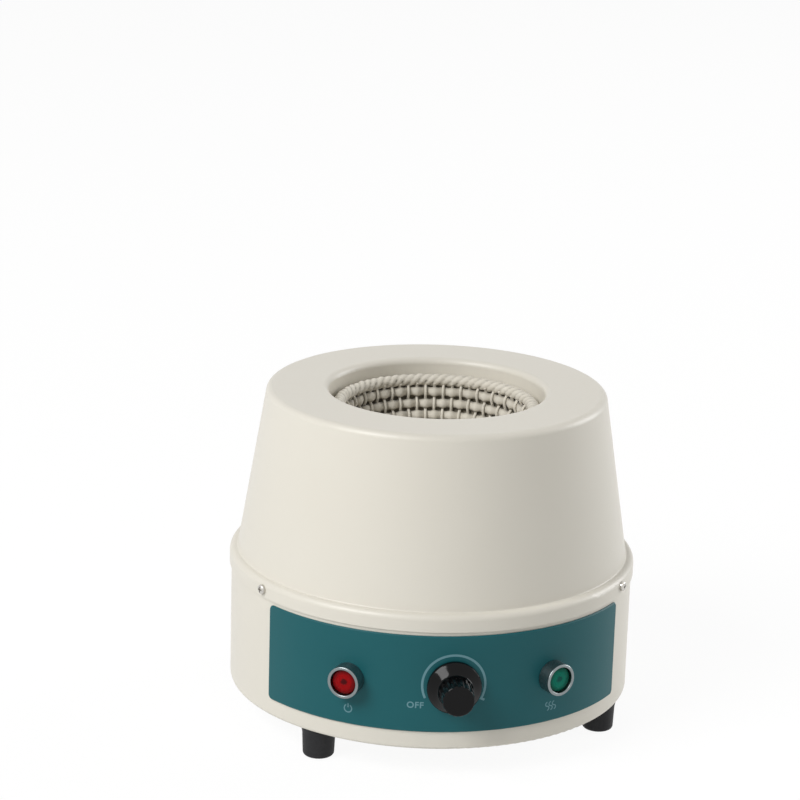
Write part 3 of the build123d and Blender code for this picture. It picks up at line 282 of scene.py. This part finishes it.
# Moulded nitrile rubber: dark grey, dull, with a talc-like bloom
blackRubber = surfaceFinish("blackRubber", {
    "colour": "1C1C1E", "shade": "252527", "patch": 3, "grain": 0.5, "relief": 0.03,
    "roughness": (0.55, 0.72), "sockets": {"Specular IOR Level": 0.3}})
# Zinc-plated steel: bright grey with a soft blue cast
zincPlatedSteel = surfaceFinish("zincPlatedSteel", {
    "colour": "B9BCC0", "shade": "A6A9AD", "patch": 2, "grain": 0.25, "relief": 0.004,
    "roughness": (0.22, 0.38), "metallic": 1})
# Nickel-plated screws: warmer and brighter than zinc
nickelPlatedSteel = surfaceFinish("nickelPlatedSteel", {
    "colour": "D2CFC9", "shade": "BDB9B2", "patch": 2, "grain": 0.25, "relief": 0.003,
    "roughness": (0.18, 0.3), "metallic": 1})
# Drawn aluminium sheet: pale, with rolling streaks
rolledAluminium = surfaceFinish("rolledAluminium", {
    "colour": "C6C8CA", "shade": "B4B6B9", "patch": 20, "grain": 0.5, "stretch": (0.06, 1, 1),
    "relief": 0.006, "roughness": (0.3, 0.45), "metallic": 1})
# Black anodised extrusion
anodisedAluminium = surfaceFinish("anodisedAluminium", {
    "colour": "1B1C1E", "shade": "232427", "patch": 8, "grain": 0.3, "stretch": (1, 1, 0.08),
    "relief": 0.004, "roughness": (0.38, 0.5), "metallic": 0.6})
# Turned brass, lightly tarnished
turnedBrass = surfaceFinish("turnedBrass", {
    "colour": "C9A35C", "shade": "B08C4A", "patch": 3, "grain": 0.25, "relief": 0.003,
    "roughness": (0.24, 0.36), "metallic": 1})
# Glass-filled nylon: black, slightly mottled where the fibres show
blackNylon = surfaceFinish("blackNylon", {
    "colour": "17181A", "shade": "202123", "patch": 2, "grain": 0.7, "relief": 0.02,
    "roughness": (0.42, 0.55)})
# Steatite ceramic: off-white, fine and dry
steatite = surfaceFinish("steatite", {
    "colour": "E6E0D2", "shade": "DCD4C3", "patch": 5, "grain": 0.4, "relief": 0.015,
    "roughness": (0.5, 0.65)})
# Epoxy-coated component bodies: deep blue, glossy and a little uneven
epoxyCoat = surfaceFinish("epoxyCoat", {
    "colour": "1F4C8C", "shade": "1A4179", "patch": 4, "grain": 1.2, "relief": 0.02,
    "roughness": (0.2, 0.3)})
# Moulded epoxy package, dark and dull
packageEpoxy = surfaceFinish("packageEpoxy", {
    "colour": "1D1E20", "shade": "242528", "patch": 3, "grain": 0.3, "relief": 0.008,
    "roughness": (0.5, 0.6)})
# Silicone-varnished glass braid on the heater leads
varnishedBraid = surfaceFinish("varnishedBraid", {
    "colour": "E9E2D0", "shade": "D8CFB8", "patch": 2, "grain": 0.5, "relief": 0.05,
    "roughness": (0.5, 0.65)})
# Soft PVC insulation on the lamp leads
leadPvc = surfaceFinish("leadPvc", {
    "colour": "B03028", "shade": "A22A23", "patch": 4, "grain": 0.5, "relief": 0.006,
    "roughness": (0.35, 0.45)})
# Solder-masked glass epoxy board
boardGreen = surfaceFinish("boardGreen", {
    "colour": "1E6B43", "shade": "236F4A", "patch": 5, "grain": 0.8, "relief": 0.01,
    "roughness": (0.25, 0.35)})
# Copper winding under clear varnish
enamelledCopper = surfaceFinish("enamelledCopper", {
    "colour": "B5602E", "shade": "9A4D22", "patch": 2, "grain": 0.4, "stretch": (1, 1, 0.1),
    "relief": 0.03, "roughness": (0.25, 0.35), "metallic": 0.8})
# Packed aluminosilicate fibre: white, matted, with short lumps
mineralFibre = surfaceFinish("mineralFibre", {
    "colour": "E8E2D4", "shade": "CFC7B4", "patch": 7, "grain": 1.1, "relief": 0.5,
    "roughness": (0.85, 0.95), "sockets": {"Sheen Weight": 0.15}})


lensLook = {
    "rings": 34,            # radians of ripple from the middle to the edge
    "ripple": 0.015,        # mm
    "flow": 2.2,
    "unevenness": 0.3,
    "bands": (0.34, 0.46, 0.72, 0.95),    # painted dark middle's end, painted light ring's start and end, painted shade edge
    "clear": 0.05,
}


def lensFinish(name, look):
    # Moulded polycarbonate over a neon bulb: deep colour with light and shade painted by distance from
    # the middle, a painted shade disc in the middle where the bulb shows through, a painted light ring
    # where light glows through, and painted shade at the edge; fine rings pressed into the back; the
    # lens keeps its own UV, from -1 to 1 across
    material, tree = startMaterial(name)
    place = addNode(tree, "ShaderNodeTexCoord")
    reach = addNode(tree, "ShaderNodeVectorMath", {}, {0: place.outputs["UV"]}, operation="LENGTH")
    rings = addNode(tree, "ShaderNodeMath", {1: lensLook["rings"]}, {0: reach.outputs["Value"]},
                    operation="MULTIPLY")
    wave = addNode(tree, "ShaderNodeMath", {}, {0: rings.outputs[0]}, operation="SINE")
    flow = addNode(tree, "ShaderNodeTexNoise", {"Scale": lensLook["flow"], "Detail": 1},
                   {"Vector": place.outputs["UV"]})
    uneven = addNode(tree, "ShaderNodeMath", {1: lensLook["unevenness"]}, {0: flow.outputs["Fac"]},
                     operation="MULTIPLY")
    spread = addNode(tree, "ShaderNodeMath", {}, {0: reach.outputs["Value"], 1: uneven.outputs[0]},
                     operation="ADD")
    tone = addNode(tree, "ShaderNodeValToRGB", {}, {"Fac": spread.outputs[0]})
    paintedDarkEnd, paintedLightStart, paintedLightEnd, shadedEdgeStart = lensLook["bands"]
    # painted light and shade by radius: a darker middle, a light ring and a darker edge
    ramp = tone.color_ramp
    ramp.elements[0].position = paintedDarkEnd
    ramp.elements[0].color = linear(look["paintedDarkMiddle"])
    ramp.elements[1].position = paintedLightStart
    ramp.elements[1].color = linear(look["paintedLightRing"])
    ramp.elements.new(paintedLightEnd).color = linear(look["paintedLightRing"])
    ramp.elements.new(shadedEdgeStart).color = linear(look["edge"])
    relief = addNode(tree, "ShaderNodeBump", {"Strength": 1, "Distance": lensLook["ripple"] * mm},
                     {"Height": wave.outputs[0]})
    shader = addNode(tree, "ShaderNodeBsdfPrincipled",
                     {"Roughness": 0.14, "IOR": 1.58, "Specular IOR Level": 0.04,
                      "Transmission Weight": lensLook["clear"]},
                     {"Base Color": tone.outputs["Color"], "Normal": relief.outputs["Normal"]})
    addNode(tree, "ShaderNodeOutputMaterial", links={"Surface": shader.outputs[0]})
    return material


# each lens: painted shade in the middle, a painted light ring, and painted shade at the edge
redPolycarbonate = lensFinish("redPolycarbonate", {
    "paintedDarkMiddle": "4B070B", "paintedLightRing": "920409", "edge": "6C0307"})
greenPolycarbonate = lensFinish("greenPolycarbonate", {
    "paintedDarkMiddle": "0B5A50", "paintedLightRing": "047E68", "edge": "045E4C"})
# Borosilicate tube of the fuse: colourless and smooth
clearGlass = surfaceFinish("clearGlass", {
    "colour": "F4F7F6", "shade": "EEF3F1", "patch": 3, "grain": 0.5, "relief": 0.001,
    "roughness": (0.03, 0.06), "sockets": {"IOR": 1.47, "Transmission Weight": 0.9}})


def yarnFinish():
    # Texturised glass yarn: off-white, matt with a dry sheen, its filaments lying along the strand
    look = {
        "colour": "E6E1D5", "shade": "D6CFC0",
        "patch": 6,
        "hollow": "80796A",     # painted shade between the strands and where they tuck under
        "filaments": 26,        # round a strand, coarser than real so that they show
        "streak": 140,          # streaks along a strand's length
        "twist": 9,             # turns of the filaments round a strand in one length
        "relief": 0.16,
    }
    material, tree = startMaterial("glassYarn")
    place = addNode(tree, "ShaderNodeTexCoord")
    split = addNode(tree, "ShaderNodeSeparateXYZ", links={"Vector": place.outputs["UV"]})
    along = addNode(tree, "ShaderNodeMath", {1: look["streak"]}, {0: split.outputs["X"]},
                    operation="MULTIPLY")
    turned = addNode(tree, "ShaderNodeMath", {1: look["twist"]}, {0: split.outputs["X"]},
                     operation="MULTIPLY")
    around = addNode(tree, "ShaderNodeMath", links={0: split.outputs["Y"], 1: turned.outputs[0]},
                     operation="ADD")
    filament = addNode(tree, "ShaderNodeMath", {1: look["filaments"]}, {0: around.outputs[0]},
                       operation="MULTIPLY")
    lay = addNode(tree, "ShaderNodeCombineXYZ", links={"X": along.outputs[0], "Y": filament.outputs[0]})
    fibre = addNode(tree, "ShaderNodeTexNoise", {"Scale": 1, "Detail": 2},
                    {"Vector": lay.outputs["Vector"]})
    patch = addNode(tree, "ShaderNodeTexNoise", {"Scale": 1 / (look["patch"] * mm), "Detail": 2},
                    {"Vector": place.outputs["Object"]})
    tone = addNode(tree, "ShaderNodeMixRGB",
                   {"Color1": linear(look["colour"]), "Color2": linear(look["shade"])},
                   {"Fac": patch.outputs["Fac"]})
    # painted shade: this attribute darkens the yarn towards the shade colour in the crevices
    hollow = addNode(tree, "ShaderNodeAttribute", attribute_name="hollow")
    shaded = addNode(tree, "ShaderNodeMixRGB", {"Color2": linear(look["hollow"])},
                     {"Fac": hollow.outputs["Fac"], "Color1": tone.outputs["Color"]})
    relief = addNode(tree, "ShaderNodeBump", {"Strength": 1, "Distance": look["relief"] * mm},
                     {"Height": fibre.outputs["Fac"]})
    shader = addNode(tree, "ShaderNodeBsdfPrincipled",
                     {"Roughness": 0.72, "Sheen Weight": 0.2, "Sheen Roughness": 0.5},
                     {"Base Color": shaded.outputs["Color"], "Normal": relief.outputs["Normal"]})
    addNode(tree, "ShaderNodeOutputMaterial", links={"Surface": shader.outputs[0]})
    return material


glassYarn = yarnFinish()

nodeFinishes = {
    creamPowderCoat: ("upper_shell", "lower_shell"),
    tealPolyesterFilm: ("front_panel",),
    nickelPlatedSteel: ("cover_screws",),
    zincPlatedSteel: (
        "cover_nuts", "regulator_washer", "regulator_nut", "regulator_body", "knob_set_screw",
        "foot_washers", "foot_screws", "foot_nuts", "post_screws", "board_screws",
        "block_screw", "block_nut", "earth_nuts", "heat_shield"),
    chromedBrass: ("power_lamp_bezel", "heat_lamp_bezel", "power_lamp_nut", "heat_lamp_nut"),
    redPolycarbonate: ("power_lamp_lens",),
    greenPolycarbonate: ("heat_lamp_lens",),
    turnedBrass: (
        "power_lamp_blades", "heat_lamp_blades", "regulator_lugs", "earth_stud", "board_spacers",
        "fuse_clips"),
    blackPhenolic: ("control_knob",),
    blackRubber: (
        "foot_front_left", "foot_front_right", "foot_rear_right", "foot_rear_left", "gland_seal"),
    blackNylon: ("cable_gland", "gland_nut", "gland_locknut"),
    rolledAluminium: ("support_bowl", "bowl_rivets", "support_posts", "regulator_shaft"),
    anodisedAluminium: ("heat_sink",),
    glassYarn: ("heating_nest",),
    mineralFibre: ("insulation_blanket",),
    steatite: ("terminal_block", "lead_bushes"),
    packageEpoxy: ("triac", "power_lamp_body", "heat_lamp_body"),
    epoxyCoat: ("capacitor",),
    enamelledCopper: ("choke",),
    clearGlass: ("fuse",),
    boardGreen: ("circuit_board", "board_terminals"),
    varnishedBraid: ("heater_leads",),
    leadPvc: ("lamp_leads", "regulator_leads"),
}
finished = set()
for material, names in nodeFinishes.items():
    for name in names:
        finished.add(name)
        for slot in nodes[name].material_slots:
            slot.material = material
print("finishes on the frame; nodes without one:", sorted(set(nodes) - finished))


# Nest: plain weave of glass yarn in a half sphere, with a whipped rope edge

nest = {
    "centreHeight": 152.0,  # mm
    "seat": 44.0,           # inner crests of the weft
    "rows": 12,
    "weftHeight": 5.3,      # a weft bundle along the meridian
    "weftDepth": 2.6,       # and across it
    "weftWave": 0.9,
    "weftPinch": 0.2,       # share of its height lost where a warp strand crosses
    "weftLoose": ((0.12, 5, 2.1), (0.08, 11, 0.7)),    # size, waves in a row, shift of the next row
    "warpRadius": 0.7,
    "warpWave": 1.2,
    "warpStarts": (6, 21, 41),    # degrees from the bottom: full, half and quarter strands
    "warpEnd": 92,
    "warpSteps": 5,         # points for each row
    "crests": 32,           # weft crests in a row at the rim
    "halfCrests": 40,       # degrees from the bottom, below which there are half as many
    "quarterCrests": 20,    # and a quarter
    "steps": 8,             # mesh steps for each crest
    "ropeCircle": 47.9,
    "ropeRadius": 3.2,
    "ropeHeight": 2.5,
    "ropeLobes": 70,
    "ropeLean": 1.5,        # half turns of a lobe round the rope
    "ropeFullness": 0.38,   # share of the radius in the lobes
    "ropeBulge": 0.45,      # under 1 makes the lobes full and the grooves narrow
    "ropeUneven": 0.04,
    "clothRadius": 47.9,    # backing cloth, inside
    "clothThickness": 0.8,
}
weaveRadius = nest["seat"] + nest["weftDepth"] / 2 + nest["weftWave"]
rowTurn = 90 / nest["rows"]


def crestsAt(turn):
    # fewer crests towards the bottom, where the circle is small
    if turn > nest["halfCrests"]:
        return nest["crests"]
    return nest["crests"] // 2 if turn > nest["quarterCrests"] else nest["crests"] // 4


# stores each point's share of painted shade
def markPaintedShade(piece, hollows):
    layer = piece.data.attributes.new("hollow", "FLOAT", "POINT")
    layer.data.foreach_set("value", hollows)


def weftRing(row):
    turn = math.radians((row + 0.5) * rowTurn)
    crests = crestsAt((row + 0.5) * rowTurn)
    ringRadius = weaveRadius * math.sin(turn)
    clearSelection()
    bpy.ops.mesh.primitive_torus_add(
        major_segments=max(24, crests * nest["steps"]), minor_segments=10,
        major_radius=ringRadius * mm, minor_radius=min(1.0, ringRadius * 0.4) * mm, generate_uvs=True)
    ring = bpy.context.object
    hollows = []
    for vertex in ring.data.vertices:
        x, y, z = (c / mm for c in vertex.co)
        angle = math.atan2(y, x)
        section = math.atan2(z, math.hypot(x, y) - ringRadius)
        sway = math.cos(crests * angle + math.pi * row)
        loose = sum(
            size * math.sin(waves * angle + shift * row) for size, waves, shift in nest["weftLoose"])
        depth = nest["weftDepth"] / 2 * math.cos(section)
        pinch = 1 - nest["weftPinch"] * (1 - sway * sway)
        height = nest["weftHeight"] / 2 * math.sin(section) * pinch + loose
        out = weaveRadius - nest["weftWave"] * sway + depth
        reach = out * math.sin(turn) + height * math.cos(turn)
        level = height * math.sin(turn) - out * math.cos(turn)
        vertex.co = (
            reach * math.cos(angle) * mm,
            reach * math.sin(angle) * mm,
            (nest["centreHeight"] + level) * mm)
        # painted shade at each bundle's top and bottom, where rows meet, and where the weft tucks under
        # a warp strand
        hollows.append(0.75 * abs(math.sin(section)) ** 3 + 0.25 * (0.5 - 0.5 * sway))
    markPaintedShade(ring, hollows)
    return ring


def warpStrands():
    curve = bpy.data.curves.new("warp", "CURVE")
    curve.dimensions = "3D"
    curve.bevel_depth = nest["warpRadius"] * mm
    curve.bevel_resolution = 1
    curve.use_fill_caps = True
    total = 2 * nest["crests"]
    full, half, quarter = nest["warpStarts"]
    for strand in range(total):
        angle = 2 * math.pi * strand / total
        start = quarter if strand % 2 else half if strand % 4 else full
        steps = int((nest["warpEnd"] - start) / rowTurn * nest["warpSteps"])
        line = curve.splines.new("POLY")
        line.points.add(steps)
        for step, point in enumerate(line.points):
            turnDegrees = start + (nest["warpEnd"] - start) * step / steps
            turn = math.radians(turnDegrees)
            crests = crestsAt(turnDegrees)
            row = turnDegrees / rowTurn - 0.5
            sway = math.cos(crests * angle + math.pi * row)
            out = weaveRadius + nest["warpWave"] * sway
            point.co = (
                out * math.sin(turn) * math.cos(angle) * mm,
                out * math.sin(turn) * math.sin(angle) * mm,
                (nest["centreHeight"] - out * math.cos(turn)) * mm,
                1)
    strands = bpy.data.objects.new("warp", curve)
    bpy.context.scene.collection.objects.link(strands)
    pick(strands)
    bpy.ops.object.convert(target="MESH")
    return bpy.context.object


def ropeEdge():
    clearSelection()
    bpy.ops.mesh.primitive_torus_add(
        major_segments=nest["ropeLobes"] * 8, minor_segments=18,
        major_radius=nest["ropeCircle"] * mm, minor_radius=nest["ropeRadius"] * mm, generate_uvs=True)
    rope = bpy.context.object
    hollows = []
    for vertex in rope.data.vertices:
        x, y, z = (c / mm for c in vertex.co)
        angle = math.atan2(y, x)
        section = math.atan2(z, nest["ropeCircle"] - math.hypot(x, y))
        phase = nest["ropeLobes"] * angle / 2 + nest["ropeLean"] * section
        lobe = abs(math.cos(phase)) ** nest["ropeBulge"]
        count = round(phase / math.pi) % nest["ropeLobes"]
        uneven = 1 - nest["ropeUneven"] * (1 - math.sin(2.4 * count))
        radius = nest["ropeRadius"] * (1 - nest["ropeFullness"] * (1 - lobe)) * uneven
        reach = nest["ropeCircle"] - radius * math.cos(section)
        vertex.co = (
            reach * math.cos(angle) * mm,
            reach * math.sin(angle) * mm,
            (nest["centreHeight"] + nest["ropeHeight"] + radius * math.sin(section)) * mm)
        # painted shade in the grooves between the lobes
        hollows.append(0.9 * (1 - lobe) ** 1.5)
    markPaintedShade(rope, hollows)
    return rope


def backingCloth():
    clearSelection()
    bpy.ops.mesh.primitive_uv_sphere_add(segments=96, ring_count=48, radius=nest["clothRadius"] * mm)
    cloth = bpy.context.object
    chooseFaces(cloth, lambda face: face.center.z > 0)
    bpy.ops.mesh.delete(type="FACE")
    bpy.ops.object.mode_set(mode="OBJECT")
    cloth.data.transform(Matrix.Translation((0, 0, nest["centreHeight"] * mm)))
    # the whole backing cloth takes the painted shade colour: a dark sheet behind the weave
    markPaintedShade(cloth, [1] * len(cloth.data.vertices))
    addSolidify(cloth, nest["clothThickness"] * mm)
    return cloth


weft = joinPieces([weftRing(row) for row in range(nest["rows"])])
finishPiece(weft, "nest_weft", "housing", glassYarn, 60, ("heating_nest",))
finishPiece(warpStrands(), "nest_warp", "housing", glassYarn, 60)
finishPiece(ropeEdge(), "nest_rope_edge", "housing", glassYarn, 60)
finishPiece(backingCloth(), "nest_cloth", "housing", glassYarn, 60)
print("nest woven")


# Lamps: faceted crowns over a round barrel, each on its own axis

lamps = {
    "lampAngle": 28.7,
    "height": 47.4,
    "seat": 103.1,          # lens's back from the housing's axis
    "face": 106.2,
    "radius": 6.2,
    "sides": 16,
    "barrel": 2.2,          # lens's back to the foot of the crown
    "crownTop": 0.93,       # front of the crown against its foot
    "edge": 0.3,
}


def facetedLens():
    clearSelection()
    bpy.ops.mesh.primitive_cylinder_add(
        vertices=lamps["sides"], radius=lamps["radius"] * mm, depth=lamps["barrel"] * mm,
        location=(0, 0, lamps["barrel"] / 2 * mm))
    lens = bpy.context.object
    bpy.ops.object.transform_apply(location=True, rotation=True, scale=True)
    chooseFaces(lens, lambda face: face.normal.z > 0.5)
    crown = (lamps["face"] - lamps["seat"] - lamps["barrel"]) * mm
    bpy.ops.mesh.extrude_region_move(TRANSFORM_OT_translate={"value": (0, 0, crown)})
    bpy.ops.transform.resize(value=(lamps["crownTop"], lamps["crownTop"], 1))
    bpy.ops.object.mode_set(mode="OBJECT")
    bevel = lens.modifiers.new("edge", "BEVEL")
    bevel.width = lamps["edge"] * mm
    bevel.segments = 2
    bpy.ops.object.modifier_apply(modifier=bevel.name)
    return lens


def unwrapAcross(piece, radius):
    layer = piece.data.uv_layers.active or piece.data.uv_layers.new(name="across")
    for loop in piece.data.loops:
        place = piece.data.vertices[loop.vertex_index].co
        layer.data[loop.index].uv = (place.x / radius / mm, place.y / radius / mm)


def standOnPanel(piece, angle, reach, height):
    # drawn with x to the right, y up and z out of the panel
    turn = math.radians(angle)
    outward = Vector((math.sin(turn), -math.cos(turn), 0))
    right = Vector((math.cos(turn), math.sin(turn), 0))
    axes = Matrix((right, Vector((0, 0, 1)), outward)).transposed().to_4x4()
    piece.data.transform(Matrix.Translation(outward * reach * mm + Vector((0, 0, height * mm))) @ axes)


for name, side, slotName, material in (
        ("power_lamp", -1, "red_lens", redPolycarbonate),
        ("heat_lamp", 1, "green_lens", greenPolycarbonate)):
    lens = facetedLens()
    unwrapAcross(lens, lamps["radius"])
    standOnPanel(lens, side * lamps["lampAngle"], lamps["seat"], lamps["height"])
    finishPiece(lens, name + "_crown", "housing", material, 20, (name + "_lens",))
print("lamps glazed")


# Printing on the panel: a dial arc with its end mark, the word OFF, and a plain sign under each lamp

printing = {
    "panelRadius": 100.45,
    "ink": 0.05,            # thickness of the ink layer
    "knobHeight": 47.4,     # knob and lamps over the bench
    "lampAngle": 28.7,
    "arcCentre": (0, 0.7),
    "arcRadius": 14.9,
    "lineWidth": 1.1,
    "arcFrom": -28,         # degrees, from the right
    "arcTo": 206,
    "endMark": 2.4,         # length of the bar at the arc's end, and how far its middle lies outside
    "endOut": 0.6,
    "letterSize": 4.3,
    "letterBold": 0.09,
    "letterSpace": 1.1,
    "offPlace": (-17.9, -9.7),
}
signs = {                   # under the lamps, x and y in mm from a lamp's axis
    "powerRing": 1.9,
    "powerPlace": (0, -15.2),
    "powerGap": (-240, 60),     # degrees that the ring covers
    "powerBar": (0.55, 2.0),
    "barPlace": (0, -13.7),
    "waveRing": 1.0,
    "waveLine": 0.5,
    "waveSpots": (-2, 0, 2),
    "waveHeights": (-14.2, -16.2),
}


def wrapOnPanel(piece, angle, height):
    # drawn flat with x to the right and y up, then laid on the curved panel
    for vertex in piece.data.vertices:
        turn = math.radians(angle) + vertex.co.x / (printing["panelRadius"] * mm)
        reach = printing["panelRadius"] * mm + vertex.co.z
        vertex.co = (reach * math.sin(turn), -reach * math.cos(turn), height * mm + vertex.co.y)


def drawArc(radius, width, first, last, centre=(0, 0)):
    clearSelection()
    bpy.ops.mesh.primitive_circle_add(
        vertices=180, radius=(radius + width / 2) * mm, fill_type="NOTHING")
    arc = bpy.context.object
    bpy.ops.object.mode_set(mode="EDIT")
    bpy.ops.mesh.select_mode(type="VERT")
    bpy.ops.mesh.select_all(action="SELECT")
    bpy.ops.mesh.extrude_region_move()
    shrink = (radius - width / 2) / (radius + width / 2)
    bpy.ops.transform.resize(value=(shrink, shrink, 1))
    chooseFaces(arc, lambda face: (
        math.degrees(math.atan2(face.center.y, face.center.x)) - first) % 360 > last - first)
    bpy.ops.mesh.delete(type="FACE")
    bpy.ops.mesh.select_all(action="SELECT")
    bpy.ops.mesh.flip_normals()
    bpy.ops.object.mode_set(mode="OBJECT")
    for vertex in arc.data.vertices:
        vertex.co += Vector((centre[0] * mm, centre[1] * mm, 0))
    return arc


def drawBar(width, height, centre, turn=0):
    clearSelection()
    bpy.ops.mesh.primitive_plane_add(size=1)
    bar = bpy.context.object
    rotation = Matrix.Rotation(math.radians(turn), 4, "Z")
    place = Matrix.Translation((centre[0] * mm, centre[1] * mm, 0))
    bar.data.transform(place @ rotation @ Matrix.Diagonal((width * mm, height * mm, 1, 1)))
    return bar


def drawWord(word, size, centre):
    clearSelection()
    bpy.ops.object.text_add()
    text = bpy.context.object
    text.data.body = word
    text.data.size = size * mm
    text.data.align_x = "CENTER"
    text.data.align_y = "CENTER"
    text.data.offset = printing["letterBold"] * mm
    text.data.space_character = printing["letterSpace"]
    bpy.ops.object.convert(target="MESH")
    letters = bpy.context.object
    letters.data.transform(Matrix.Translation((centre[0] * mm, centre[1] * mm, 0)))
    return letters


def inkPiece(drawings, name, angle, height):
    # the ink's pattern is on Object coordinates, so the primitives' UV maps go
    for drawing in drawings:
        if drawing.data.uv_layers:
            drawing.data.uv_layers.remove(drawing.data.uv_layers[0])
    piece = joinPieces(drawings)
    pick(piece)
    bpy.ops.object.mode_set(mode="EDIT")
    bpy.ops.mesh.select_all(action="SELECT")
    bpy.ops.mesh.remove_doubles(threshold=0.001 * mm)
    bpy.ops.object.mode_set(mode="OBJECT")
    wrapOnPanel(piece, angle, height)
    addSolidify(piece, printing["ink"] * mm)
    finishPiece(piece, name, "housing", paleInk, 20)


controlHeight = printing["knobHeight"]
lampAngle = printing["lampAngle"]
arcFrom, arcTo = printing["arcFrom"], printing["arcTo"]
arcX, arcY = printing["arcCentre"]
endTurn = math.radians(arcFrom)
endReach = printing["arcRadius"] + printing["endOut"]
endPlace = arcX + endReach * math.cos(endTurn), arcY + endReach * math.sin(endTurn)
inkPiece([
    drawArc(printing["arcRadius"], printing["lineWidth"], arcFrom, arcTo, (arcX, arcY)),
    drawBar(printing["endMark"], printing["lineWidth"], endPlace, arcFrom),
], "dial_arc", 0, controlHeight)
inkPiece([drawWord("OFF", printing["letterSize"], printing["offPlace"])], "off_mark", 0, controlHeight)
barWidth, barHeight = signs["powerBar"]
inkPiece([
    drawArc(signs["powerRing"], barWidth, *signs["powerGap"], signs["powerPlace"]),
    drawBar(barWidth, barHeight, signs["barPlace"]),
], "power_sign", -lampAngle, controlHeight)
upperHalf, lowerHalf = signs["waveHeights"]
inkPiece([
    drawArc(signs["waveRing"], signs["waveLine"], 90, 270, (x, upperHalf)) for x in signs["waveSpots"]
] + [
    drawArc(signs["waveRing"], signs["waveLine"], -90, 90, (x, lowerHalf)) for x in signs["waveSpots"]
], "heat_sign", lampAngle, controlHeight)
print("panel printed")
